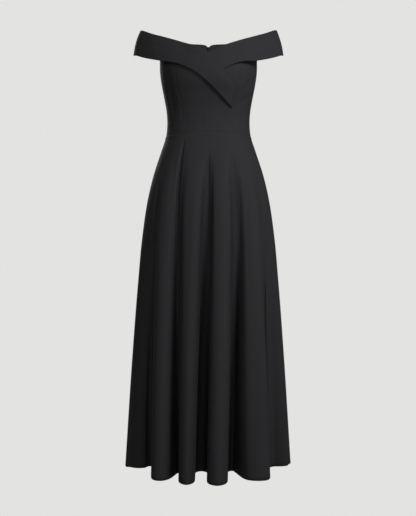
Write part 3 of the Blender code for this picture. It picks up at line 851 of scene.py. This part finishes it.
# %% [markdown]
# ## The band
#
# The off-shoulder band is one long strip, folded double. It leaves the bodice at each
# side, passes over the upper arm and comes back to the zip. At the front the wearer's
# right end crosses over the left one and runs down into the princess seam. Both of its
# long edges are soft folds, so the wall swells a little there. In front the cloth lies flat
# on the bust. The crossing end is pressed thin along its upper edge, so that its step over
# the other end hardly shows, and it sinks in where the seam takes it.

# %% Rows of the band
BandRow = namedtuple("BandRow", "up_x up_y up_z low_x low_y low_z")
BAND_OVER_ARM = (
    BandRow(0.1305, -0.078, 0.2790, 0.1400, -0.083, 0.2095),
    BandRow(0.1735, -0.049, 0.2990, 0.1850, -0.052, 0.2250),
    BandRow(0.1980, -0.022, 0.3140, 0.2160, -0.024, 0.2400),
    BandRow(0.2060, 0.004, 0.3195, 0.2250, 0.004, 0.2470),
)
BAND_BACK = (
    BandRow(0.1985, 0.030, 0.3185, 0.2150, 0.034, 0.2555),
    BandRow(0.1650, 0.062, 0.3170, 0.1740, 0.071, 0.2650),
    BandRow(0.1150, 0.084, 0.3120, 0.1200, 0.093, 0.2560),
    BandRow(0.0600, 0.093, 0.3060, 0.0620, 0.102, 0.2440),
    BandRow(0.0070, 0.096, 0.3020, 0.0070, 0.105, 0.2370),
    BandRow(0.0000, 0.096, 0.2930, 0.0000, 0.105, 0.2370),
)
UNDER_END = (
    BandRow(0.0010, -0.112, 0.2225, 0.0130, -0.121, 0.1600),
    BandRow(0.0220, -0.110, 0.2375, 0.0430, -0.118, 0.1770),
    BandRow(0.0550, -0.106, 0.2505, 0.0730, -0.113, 0.1930),
    BandRow(0.0950, -0.096, 0.2650, 0.1060, -0.103, 0.2040),
)
CROSSING_END = (
    BandRow(-0.0905, -0.105, 0.1200, -0.0790, -0.102, 0.0700),
    BandRow(-0.0770, -0.113, 0.1350, -0.0550, -0.110, 0.0890),
    BandRow(-0.0455, -0.123, 0.1740, -0.0200, -0.122, 0.1210),
    BandRow(-0.0230, -0.122, 0.2010, 0.0080, -0.126, 0.1440),
    BandRow(0.0000, -0.118, 0.2270, 0.0400, -0.124, 0.1700),
    BandRow(0.0400, -0.110, 0.2450, 0.0700, -0.117, 0.1860),
    BandRow(0.0860, -0.100, 0.2610, 0.1020, -0.106, 0.1985),
)
BAND_WALL = 0.0022
BAND_BULGE = 0.003
BAND_STAND = 0.0008
END_STAND = 0.0005
CROSSING_CLEARANCE = 0.0008
CROSSING_STAND = BAND_STAND + BAND_WALL + CROSSING_CLEARANCE
LIES_FLAT_WITHIN = 0.060
LEAVES_BY = 0.165
BAND_STEPS = 16
BAND_ACROSS = 36
EDGE_ROLL = 0.0004
EDGE_REACH = 0.06
END_SINK = 0.0030
END_REACH = 0.0060
PRESSED_SINK = 0.0014
PRESSED_REACH = 0.16
END_THINNING = 0.6
PRESSED_THINNING = 0.5
UNDER_FLATNESS = (0.9, 0.7)
CROSSING_FLATNESS = (0.9, 0.8)
LOOSE = (0.0, 0.0)

BAND_CREASES = (
    Crease(-64, 0.290, -76, 0.300, 0.0060, 0.0012),
    Crease(-70, 0.262, -60, 0.250, 0.0060, 0.0008),
    Crease(-46, 0.250, -12, 0.212, 0.0070, 0.0009),
    Crease(-30, 0.262, 8, 0.196, 0.0080, -0.0008),
    Crease(-2, 0.206, 24, 0.150, 0.0070, 0.0009),
    Crease(24, 0.222, 33, 0.207, 0.0035, 0.0013),
    Crease(29, 0.229, 39, 0.213, 0.0035, 0.0010),
    Crease(52, 0.262, 66, 0.244, 0.0070, 0.0010),
    Crease(72, 0.300, 80, 0.280, 0.0070, 0.0008),
    Crease(128, 0.300, 142, 0.276, 0.0080, 0.0010),
    Crease(226, 0.298, 214, 0.272, 0.0080, 0.0011),
)


def ease(low, high, value):
    """A smooth step from 0 at low to 1 at high."""
    t = np.clip((value - low) / (high - low), 0, 1)
    return t * t * (3 - 2 * t)


def band_points(rows, stands, side, place, share, flat_share):
    """The outside of a band over places (columns) and shares across it (rows)."""
    table = np.array(rows, float)
    steps = np.sqrt(np.linalg.norm(np.diff(table, axis=0), axis=1))
    knots = np.concatenate([[0.0], np.cumsum(steps)])
    index = np.clip(np.floor(place).astype(int), 0, len(rows) - 2)
    knot = knots[index] + (place - index) * (knots[index + 1] - knots[index])
    values = np.stack([smooth(knots, table[:, k], knot) for k in range(6)], -1)
    upper, lower = values[None, :, :3], values[None, :, 3:]
    points = upper + (lower - upper) * share[:, None, None]
    level_out = unit(points * np.array([1.0, 1.0, 0.0]))
    points = points + level_out * (BAND_BULGE * 4 * share * (1 - share))[:, None, None]
    stand = smooth(np.arange(len(stands)), stands, place)[None, :] + BAND_WALL
    turn = np.degrees(np.arctan2(points[..., 0], -points[..., 1]))
    distance = np.hypot(points[..., 0], points[..., 1])
    least = body_radius(turn, points[..., 2]) + stand
    near_centre = 1 - ease(LIES_FLAT_WITHIN, LEAVES_BY, points[..., 0])
    on_front = np.where(points[..., 1] < 0, near_centre, 0)
    spare = np.maximum(distance - least, 0) * (1 - on_front * flat_share[:, None])
    points[..., :2] *= ((least + spare) / distance)[..., None]
    points[..., 0] *= side
    return points


def band_piece(name, rows, stands, side, first, last, flatness, sink):
    """A length of band between two of its rows; sink is 1 where its end sinks in."""
    place = np.linspace(first, last, (last - first) * BAND_STEPS + 1)
    share = np.linspace(0, 1, BAND_ACROSS)
    flat_share = flatness[0] + (flatness[1] - flatness[0]) * share
    points = band_points(rows, stands, side, place, share, flat_share)
    from_end = running_length(points, 1)
    if side < 0:
        points, from_end = points[:, ::-1], from_end[:, ::-1]
    normals = grid_normals(points)
    turn = np.degrees(np.arctan2(points[..., 0], -points[..., 1]))
    turn = np.where(turn < -90, turn + 360, turn)
    points = points - normals * crease_depth(turn, points[..., 2], BAND_CREASES)[..., None]
    normals = grid_normals(points)
    edge = np.exp(-(share / EDGE_REACH) ** 2) + np.exp(-((1 - share) / EDGE_REACH) ** 2)
    points = turn_in(points, normals, ("left", "right"))
    points = points + normals * (EDGE_ROLL * edge)[:, None, None]
    sunk = sink * np.exp(-(from_end / END_REACH) ** 2)
    pressed = sink * np.exp(-(share / PRESSED_REACH) ** 2)[:, None] * (1 - sunk)
    points = points - normals * (END_SINK * sunk + PRESSED_SINK * pressed)[..., None]
    thinning = END_THINNING * sunk + PRESSED_THINNING * pressed
    thickness = (BAND_WALL + EDGE_ROLL * edge)[:, None] * (1 - thinning)
    return add_cloth(name, points, normals, thickness, ("top", "bottom"), crepe_band)


def band_side(word, side, end_rows, end_stand, middle_stand, flatness, sink):
    """The front and back lengths of one side's band; they meet over the arm."""
    front_rows = end_rows + BAND_OVER_ARM
    rows = front_rows + BAND_BACK
    stands = [end_stand] + [middle_stand] * (len(end_rows) - 2)
    stands += [BAND_STAND] * (len(front_rows) - len(stands))
    stands += [END_STAND] * (len(rows) - len(front_rows))
    over_arm = len(front_rows) - 1
    band_piece("band_front_" + word, rows, stands, side, 0, over_arm, flatness, sink)
    band_piece("band_back_" + word, rows, stands, side, over_arm, len(rows) - 1, LOOSE, 0)


band_side("left", 1, UNDER_END, BAND_STAND, BAND_STAND, UNDER_FLATNESS, 0)
band_side("right", -1, CROSSING_END, END_STAND, CROSSING_STAND, CROSSING_FLATNESS, 1)

# %% [markdown]
# ## The zip tape
#
# A concealed zip is sewn to the seam allowances, so nothing of it shows from the front.
# Its woven tape lies behind the centre back seam, from the neck edge to a hand's length
# under the waist. It is one thin ribbon on the same curve as the back, and its weave is
# small ribs on its own cut coordinates.

# %% Zip tape
ZIP_TOP_Z = 0.2834
ZIP_END_Z = -0.1967
TAPE_HALF_WIDTH = 0.0110
TAPE_WALL = 0.0008
TAPE_STAND = 0.0020
TAPE_ROWS = 120
TAPE_COLUMNS = 13
RIBS_PER_METRE = 900.0
ZIP_BLACK = (0.012, 0.012, 0.014, 1.0)
ZIP_WORN = (0.018, 0.018, 0.020, 1.0)
RIB_WAVE = 1.5
TAPE_RELIEF = {"Strength": 0.4, "Distance": 0.0002}
TAPE_SHINE = {"Sheen Weight": 0.05, "Specular IOR Level": 0.25}
TAPE_ROUGHNESS = 0.62
RIB_ROUGHNESS = 0.1


def tape_weave():
    """Black ribbed ribbon."""
    graph = Graph("zip_tape_weave")
    place = graph.node("ShaderNodeUVMap", {"uv_map": CUT_MAP})
    split = graph.node("ShaderNodeSeparateXYZ", {}, {"Vector": place})
    along = Wire(graph, split.socket.node.outputs["Y"])
    turn = 2 * math.pi * RIBS_PER_METRE
    ribs = (split * turn + (along * turn).sine() * RIB_WAVE).sine() * 0.5 + 0.5
    bump = graph.node("ShaderNodeBump", {}, {**TAPE_RELIEF, "Height": ribs})
    tint = graph.node("ShaderNodeMix", {"data_type": "RGBA"},
                      {"Factor": ribs, 6: ZIP_BLACK, 7: ZIP_WORN}, output=2)
    roughness = TAPE_ROUGHNESS + ribs * RIB_ROUGHNESS
    return graph.finish(TAPE_SHINE, {"Base Color": tint, "Roughness": roughness, "Normal": bump})


def behind_the_back(z, depth):
    """How far back a point lies that is a little inside the centre back's cloth."""
    return body_radius(180.0, z) - CLOTH_WALL - depth


tape_z = np.linspace(ZIP_TOP_Z, ZIP_END_Z, TAPE_ROWS)[:, None]
tape_x = np.linspace(TAPE_HALF_WIDTH, -TAPE_HALF_WIDTH, TAPE_COLUMNS)[None, :]
tape_x, tape_z = np.broadcast_arrays(tape_x, tape_z)
tape_points = np.stack([tape_x, behind_the_back(tape_z, TAPE_STAND), tape_z], -1)
add_cloth("zip_tape", tape_points, grid_normals(tape_points), TAPE_WALL,
          ("left", "right", "top", "bottom"), tape_weave())

# %% [markdown]
# ## Things that repeat along a line
#
# A coil's turns and a machine's stitches are one small shape, set down again at an even
# step. A node tree does just that: it walks along a line, turns the shape to follow it and
# joins the copies into one mesh. Its inputs have plain names, and each line gives its own
# values.

# %% A tree that repeats a small shape
RING_SIDES = 6
WIRE_SIDES = 4
WOBBLE_SEED = 4
TREE_INPUTS = ("Step", "Shape Radius", "Thread Radius", "Unevenness")


def ring_shape(tree, inputs):
    """One turn of a coil."""
    loop = tree.nodes.new("GeometryNodeCurvePrimitiveCircle")
    loop.inputs["Resolution"].default_value = RING_SIDES
    wire = tree.nodes.new("GeometryNodeCurvePrimitiveCircle")
    wire.inputs["Resolution"].default_value = WIRE_SIDES
    swept = tree.nodes.new("GeometryNodeCurveToMesh")
    tree.links.new(inputs.outputs["Shape Radius"], loop.inputs["Radius"])
    tree.links.new(inputs.outputs["Thread Radius"], wire.inputs["Radius"])
    tree.links.new(loop.outputs["Curve"], swept.inputs["Curve"])
    tree.links.new(wire.outputs["Curve"], swept.inputs["Profile Curve"])
    return swept.outputs["Mesh"]


def stitch_shape(tree, inputs):
    """One stitch: a short thread that dips into the cloth at both ends."""
    bead = tree.nodes.new("GeometryNodeMeshIcoSphere")
    bead.inputs["Radius"].default_value = 1.0
    bead.inputs["Subdivisions"].default_value = 1
    size = tree.nodes.new("ShaderNodeCombineXYZ")
    place = tree.nodes.new("GeometryNodeTransform")
    for axis, name in (("X", "Thread Radius"), ("Y", "Thread Radius"), ("Z", "Shape Radius")):
        tree.links.new(inputs.outputs[name], size.inputs[axis])
    tree.links.new(size.outputs["Vector"], place.inputs["Scale"])
    tree.links.new(bead.outputs["Mesh"], place.inputs["Geometry"])
    return place.outputs["Geometry"]


def repeat_tree(tree_name, shape, material):
    """A tree that sets a shape down along a line, facing along it."""
    tree = bpy.data.node_groups.new(tree_name, "GeometryNodeTree")
    for way in ("INPUT", "OUTPUT"):
        tree.interface.new_socket("Geometry", in_out=way, socket_type="NodeSocketGeometry")
    for name in TREE_INPUTS:
        tree.interface.new_socket(name, in_out="INPUT", socket_type="NodeSocketFloat")
    inputs = tree.nodes.new("NodeGroupInput")
    output = tree.nodes.new("NodeGroupOutput")
    line = tree.nodes.new("GeometryNodeMeshToCurve")
    spots = tree.nodes.new("GeometryNodeResampleCurve")
    spots.mode = "LENGTH"
    tangent = tree.nodes.new("GeometryNodeInputTangent")
    facing = tree.nodes.new("FunctionNodeAlignRotationToVector")
    facing.axis = "Z"
    wobble = tree.nodes.new("FunctionNodeRandomValue")
    wobble.data_type = "FLOAT"
    least = tree.nodes.new("ShaderNodeMath")
    least.operation = "SUBTRACT"
    least.inputs[0].default_value = 1.0
    copies = tree.nodes.new("GeometryNodeInstanceOnPoints")
    joined = tree.nodes.new("GeometryNodeRealizeInstances")
    finish = tree.nodes.new("GeometryNodeSetMaterial")
    finish.inputs["Material"].default_value = material
    random_float = {socket.identifier: socket for socket in wobble.inputs}
    random_float["Max_001"].default_value = 1.0
    random_float["Seed"].default_value = WOBBLE_SEED
    amount = next(socket for socket in wobble.outputs if socket.identifier == "Value_001")
    for source, target in (
        (inputs.outputs["Geometry"], line.inputs["Mesh"]),
        (line.outputs["Curve"], spots.inputs["Curve"]),
        (inputs.outputs["Step"], spots.inputs["Length"]),
        (tangent.outputs["Tangent"], facing.inputs["Vector"]),
        (spots.outputs["Curve"], copies.inputs["Points"]),
        (shape(tree, inputs), copies.inputs["Instance"]),
        (facing.outputs["Rotation"], copies.inputs["Rotation"]),
        (inputs.outputs["Unevenness"], least.inputs[1]),
        (least.outputs["Value"], random_float["Min_001"]),
        (amount, copies.inputs["Scale"]),
        (copies.outputs["Instances"], joined.inputs["Geometry"]),
        (joined.outputs["Geometry"], finish.inputs["Geometry"]),
        (finish.outputs["Geometry"], output.inputs["Geometry"]),
    ):
        tree.links.new(source, target)
    return tree


def add_part(name, mesh, material, body):
    """Put a plain mesh in the scene and on its body."""
    piece = bpy.data.objects.new(name, mesh)
    if not mesh.materials:
        mesh.materials.append(material)
    bpy.context.scene.collection.objects.link(piece)
    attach(piece, body)
    print(name, "faces", len(mesh.polygons))
    return piece


def repeated(name, lines, tree, values, material):
    """Run a tree along some lines and keep the result as a plain mesh."""
    points = np.concatenate(lines)
    edges, start = [], 0
    for line in lines:
        edges += [(start + k, start + k + 1) for k in range(len(line) - 1)]
        start += len(line)
    path = bpy.data.meshes.new(name + "_path")
    path.from_pydata(points.tolist(), edges, [])
    guide = bpy.data.objects.new(name + "_path", path)
    bpy.context.scene.collection.objects.link(guide)
    modifier = guide.modifiers.new("repeat", "NODES")
    modifier.node_group = tree
    for item in tree.interface.items_tree:
        if item.in_out == "INPUT" and item.name in values:
            modifier[item.identifier] = values[item.name]
    graph = bpy.context.evaluated_depsgraph_get()
    mesh = bpy.data.meshes.new_from_object(guide.evaluated_get(graph))
    mesh.name = name
    guide.modifiers.remove(modifier)
    bpy.data.objects.remove(guide)
    return add_part(name, mesh, material, "dress")


print("tree helpers ready")

# %% [markdown]
# ## Coil and stitches
#
# The zip closes with two coils of nylon thread whose turns lock into each other, so the
# second line starts half a step lower. Each half of the tape is held by one row of
# lockstitches, two and a half millimetres long, about half way to its edge.

# %% Zip coil and stitches
COIL_STEP = 0.0011
COIL_RADIUS = 0.0009
COIL_THREAD = 0.00026
COIL_APART = 0.0007
STITCH_STEP = 0.0025
STITCH_HALF = 0.0010
STITCH_THREAD = 0.00022
STITCH_ROW_X = 0.0056
ZIP_LINE_POINTS = 160
COIL_START = 0.001
STITCH_START = 0.003
ZIP_LINE_END = 0.002
COIL_ROUGHNESS = 0.38
THREAD_ROUGHNESS = 0.5
STITCH_UNEVENNESS = 0.12


def zip_line(x, top_z, depth):
    """A line down the inside of the centre back."""
    z = np.linspace(top_z, ZIP_END_Z + ZIP_LINE_END, ZIP_LINE_POINTS)
    return np.stack([np.full_like(z, x), behind_the_back(z, depth), z], -1)


def plain_thread(name, colour, roughness):
    """Shiny black thread."""
    graph = Graph(name)
    return graph.finish({"Base Color": colour, "Roughness": roughness}, {})


coil_thread = plain_thread("coil_thread", ZIP_BLACK, COIL_ROUGHNESS)
sewing_thread = plain_thread("sewing_thread", ZIP_WORN, THREAD_ROUGHNESS)
stitch_depth = TAPE_STAND + TAPE_WALL
coil_depth = stitch_depth + COIL_RADIUS
coil_top_z = ZIP_TOP_Z - COIL_START
repeated("zip_coil",
         [zip_line(COIL_APART, coil_top_z, coil_depth),
          zip_line(-COIL_APART, coil_top_z - COIL_STEP / 2, coil_depth)],
         repeat_tree("coil_turns", ring_shape, coil_thread),
         {"Step": COIL_STEP, "Shape Radius": COIL_RADIUS, "Thread Radius": COIL_THREAD,
          "Unevenness": 0.0}, coil_thread)
repeated("zip_stitches",
         [zip_line(x, ZIP_TOP_Z - STITCH_START, stitch_depth)
          for x in (STITCH_ROW_X, -STITCH_ROW_X)],
         repeat_tree("lockstitches", stitch_shape, sewing_thread),
         {"Step": STITCH_STEP, "Shape Radius": STITCH_HALF, "Thread Radius": STITCH_THREAD,
          "Unevenness": STITCH_UNEVENNESS}, sewing_thread)

# %% [markdown]
# ## Slider and pull
#
# The slider is a small cast piece, lacquered black like the tape. A neck at its top carries
# a ring, and the flat pull hangs in the ring by the bar over its eye. The pull is the one
# piece that moves, so it is a separate object on its own body.

# %% Slider and pull
SLIDER_HALF_WIDTH = 0.0035
SLIDER_FRONT_Y = 0.0942
SLIDER_BACK_Y = 0.0967
SLIDER_BOTTOM_Z = 0.2846
SLIDER_TOP_Z = 0.2975
SLIDER_FOOT_SHARE = 0.62
SLIDER_FOOT_HEIGHT = 0.004
SLIDER_FLARE_HEIGHT = 0.008
SLIDER_CORNER = 0.001
NECK_HALF_WIDTH = 0.0008
NECK_BOTTOM_Z = 0.2952
NECK_TOP_Z = 0.2971
NECK_ROOT = 0.001
NECK_END_Y = 0.1026
PIVOT = Vector((0.0, 0.1040, 0.2960))
RING_RADIUS = 0.0014
RING_WIRE = 0.00042
PULL_HALF_WIDTH = 0.0028
PULL_NARROW = 0.0020
PULL_TOP = 0.0005
PULL_LENGTH = 0.0240
PULL_THICKNESS = 0.0010
EYE_HALF_WIDTH = 0.0013
EYE_BOTTOM = 0.0026
PULL_LEAN = math.radians(2.0)
METAL_BEVEL = 0.0003
BEVEL_ANGLE = math.radians(35)
METAL_SHARP_ANGLE = math.radians(50)
OBJECT_OUTPUT = 3
HAZE_PER_METRE = 900.0
LACQUER = {"Base Color": ZIP_BLACK, "Metallic": 0.6, "Coat Weight": 0.4}
LACQUER_ROUGHNESS = 0.26
HAZE_ROUGHNESS = 0.14


def lacquered_metal():
    """Black lacquer over cast zinc, a little uneven in its shine."""
    graph = Graph("zip_lacquer")
    place = graph.node("ShaderNodeTexCoord", {}, {}, output=OBJECT_OUTPUT)
    haze = graph.node("ShaderNodeTexNoise", {}, {"Vector": place, "Scale": HAZE_PER_METRE})
    return graph.finish(LACQUER, {"Roughness": LACQUER_ROUGHNESS + haze * HAZE_ROUGHNESS})


def plate(outline, holes=()):
    """A plate of thickness one, with holes, from outlines given as pairs."""
    shape = bmesh.new()
    for ring in (outline, *holes):
        spots = [shape.verts.new((a, b, 0.0)) for a, b in ring]
        for first, second in zip(spots, spots[1:] + spots[:1]):
            shape.edges.new((first, second))
    bmesh.ops.triangle_fill(shape, use_beauty=True, edges=shape.edges[:])
    grown = bmesh.ops.extrude_face_region(shape, geom=shape.faces[:])
    top = [item for item in grown["geom"] if isinstance(item, bmesh.types.BMVert)]
    bmesh.ops.translate(shape, verts=top, vec=(0.0, 0.0, 1.0))
    bmesh.ops.recalc_face_normals(shape, faces=shape.faces[:])
    return shape


def bevelled(shape, width):
    """Round the sharp edges."""
    sharp = [edge for edge in shape.edges
             if len(edge.link_faces) == 2 and edge.calc_face_angle() > BEVEL_ANGLE]
    bmesh.ops.bevel(shape, geom=sharp, offset=width, segments=2, affect="EDGES",
                    clamp_overlap=True)


def rounded(half_width, low, high, radius, steps=5):
    """A rectangle's outline with round corners."""
    outline = []
    for side, level, start in ((1, high, 0), (-1, high, 90), (-1, low, 180), (1, low, 270)):
        centre = (side * (half_width - radius), level + (radius if level == low else -radius))
        for step in range(steps + 1):
            angle = math.radians(start + 90 * step / steps)
            outline.append((centre[0] + radius * math.cos(angle),
                            centre[1] + radius * math.sin(angle)))
    return outline


def upright(shape, low_y, high_y):
    """Turn a plate drawn flat so that it stands, its depth between two levels."""
    for vert in shape.verts:
        x, z, depth = vert.co
        vert.co = (x, low_y + depth * (high_y - low_y), z)
    bmesh.ops.recalc_face_normals(shape, faces=shape.faces[:])


def ring_mesh(radius, wire, around=24, across=8):
    """A ring whose axis lies across the dress."""
    shape = bmesh.new()
    loops = []
    for step in range(around):
        angle = 2 * math.pi * step / around
        loops.append([])
        for part in range(across):
            turn = 2 * math.pi * part / across
            reach = radius + wire * math.cos(turn)
            loops[-1].append(shape.verts.new((wire * math.sin(turn),
                                              PIVOT.y + reach * math.cos(angle),
                                              PIVOT.z + reach * math.sin(angle))))
    for step, loop in enumerate(loops):
        after = loops[(step + 1) % around]
        for part in range(across):
            other = (part + 1) % across
            shape.faces.new((loop[part], loop[other], after[other], after[part]))
    bmesh.ops.recalc_face_normals(shape, faces=shape.faces[:])
    return shape


def join_shapes(name, shapes):
    """One mesh from several shapes."""
    whole = bmesh.new()
    for shape in shapes:
        part = bpy.data.meshes.new("part")
        shape.to_mesh(part)
        shape.free()
        whole.from_mesh(part)
        bpy.data.meshes.remove(part)
    mesh = bpy.data.meshes.new(name)
    whole.to_mesh(mesh)
    whole.free()
    mesh.shade_smooth()
    mesh.set_sharp_from_angle(angle=METAL_SHARP_ANGLE)
    return mesh


lacquer = lacquered_metal()
foot = SLIDER_HALF_WIDTH * SLIDER_FOOT_SHARE
slider_outline = [
    (foot, SLIDER_BOTTOM_Z),
    (foot, SLIDER_BOTTOM_Z + SLIDER_FOOT_HEIGHT),
    (SLIDER_HALF_WIDTH, SLIDER_BOTTOM_Z + SLIDER_FLARE_HEIGHT),
    (SLIDER_HALF_WIDTH, SLIDER_TOP_Z - SLIDER_CORNER),
    (SLIDER_HALF_WIDTH - SLIDER_CORNER, SLIDER_TOP_Z),
]
slider_outline += [(-x, z) for x, z in reversed(slider_outline)]
slider_plate = plate(slider_outline)
upright(slider_plate, SLIDER_FRONT_Y, SLIDER_BACK_Y)
bevelled(slider_plate, METAL_BEVEL)
neck = plate([(NECK_HALF_WIDTH, NECK_BOTTOM_Z), (NECK_HALF_WIDTH, NECK_TOP_Z),
              (-NECK_HALF_WIDTH, NECK_TOP_Z), (-NECK_HALF_WIDTH, NECK_BOTTOM_Z)])
upright(neck, SLIDER_BACK_Y - NECK_ROOT, NECK_END_Y)
bevelled(neck, METAL_BEVEL / 2)
slider_mesh = join_shapes("zip_slider", (slider_plate, neck, ring_mesh(RING_RADIUS, RING_WIRE)))
slider = add_part("zip_slider", slider_mesh, lacquer, "dress")
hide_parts("zip_slider")

pull_outline = rounded(PULL_HALF_WIDTH, -PULL_LENGTH, PULL_TOP, PULL_NARROW / 2)
eye_outline = rounded(EYE_HALF_WIDTH, -EYE_BOTTOM, -PULL_TOP, PULL_TOP)
pull_plate = plate(pull_outline, (eye_outline,))
upright(pull_plate, -PULL_THICKNESS / 2, PULL_THICKNESS / 2)
bevelled(pull_plate, METAL_BEVEL / 2)
bmesh.ops.rotate(pull_plate, verts=pull_plate.verts[:], cent=(0.0, 0.0, 0.0),
                 matrix=Matrix.Rotation(PULL_LEAN, 3, "X"))
bmesh.ops.translate(pull_plate, verts=pull_plate.verts[:], vec=PIVOT)
pull_mesh = join_shapes("zip_pull", (pull_plate,))
pull = add_part("zip_pull", pull_mesh, lacquer, "pull_tab")
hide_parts("zip_pull")
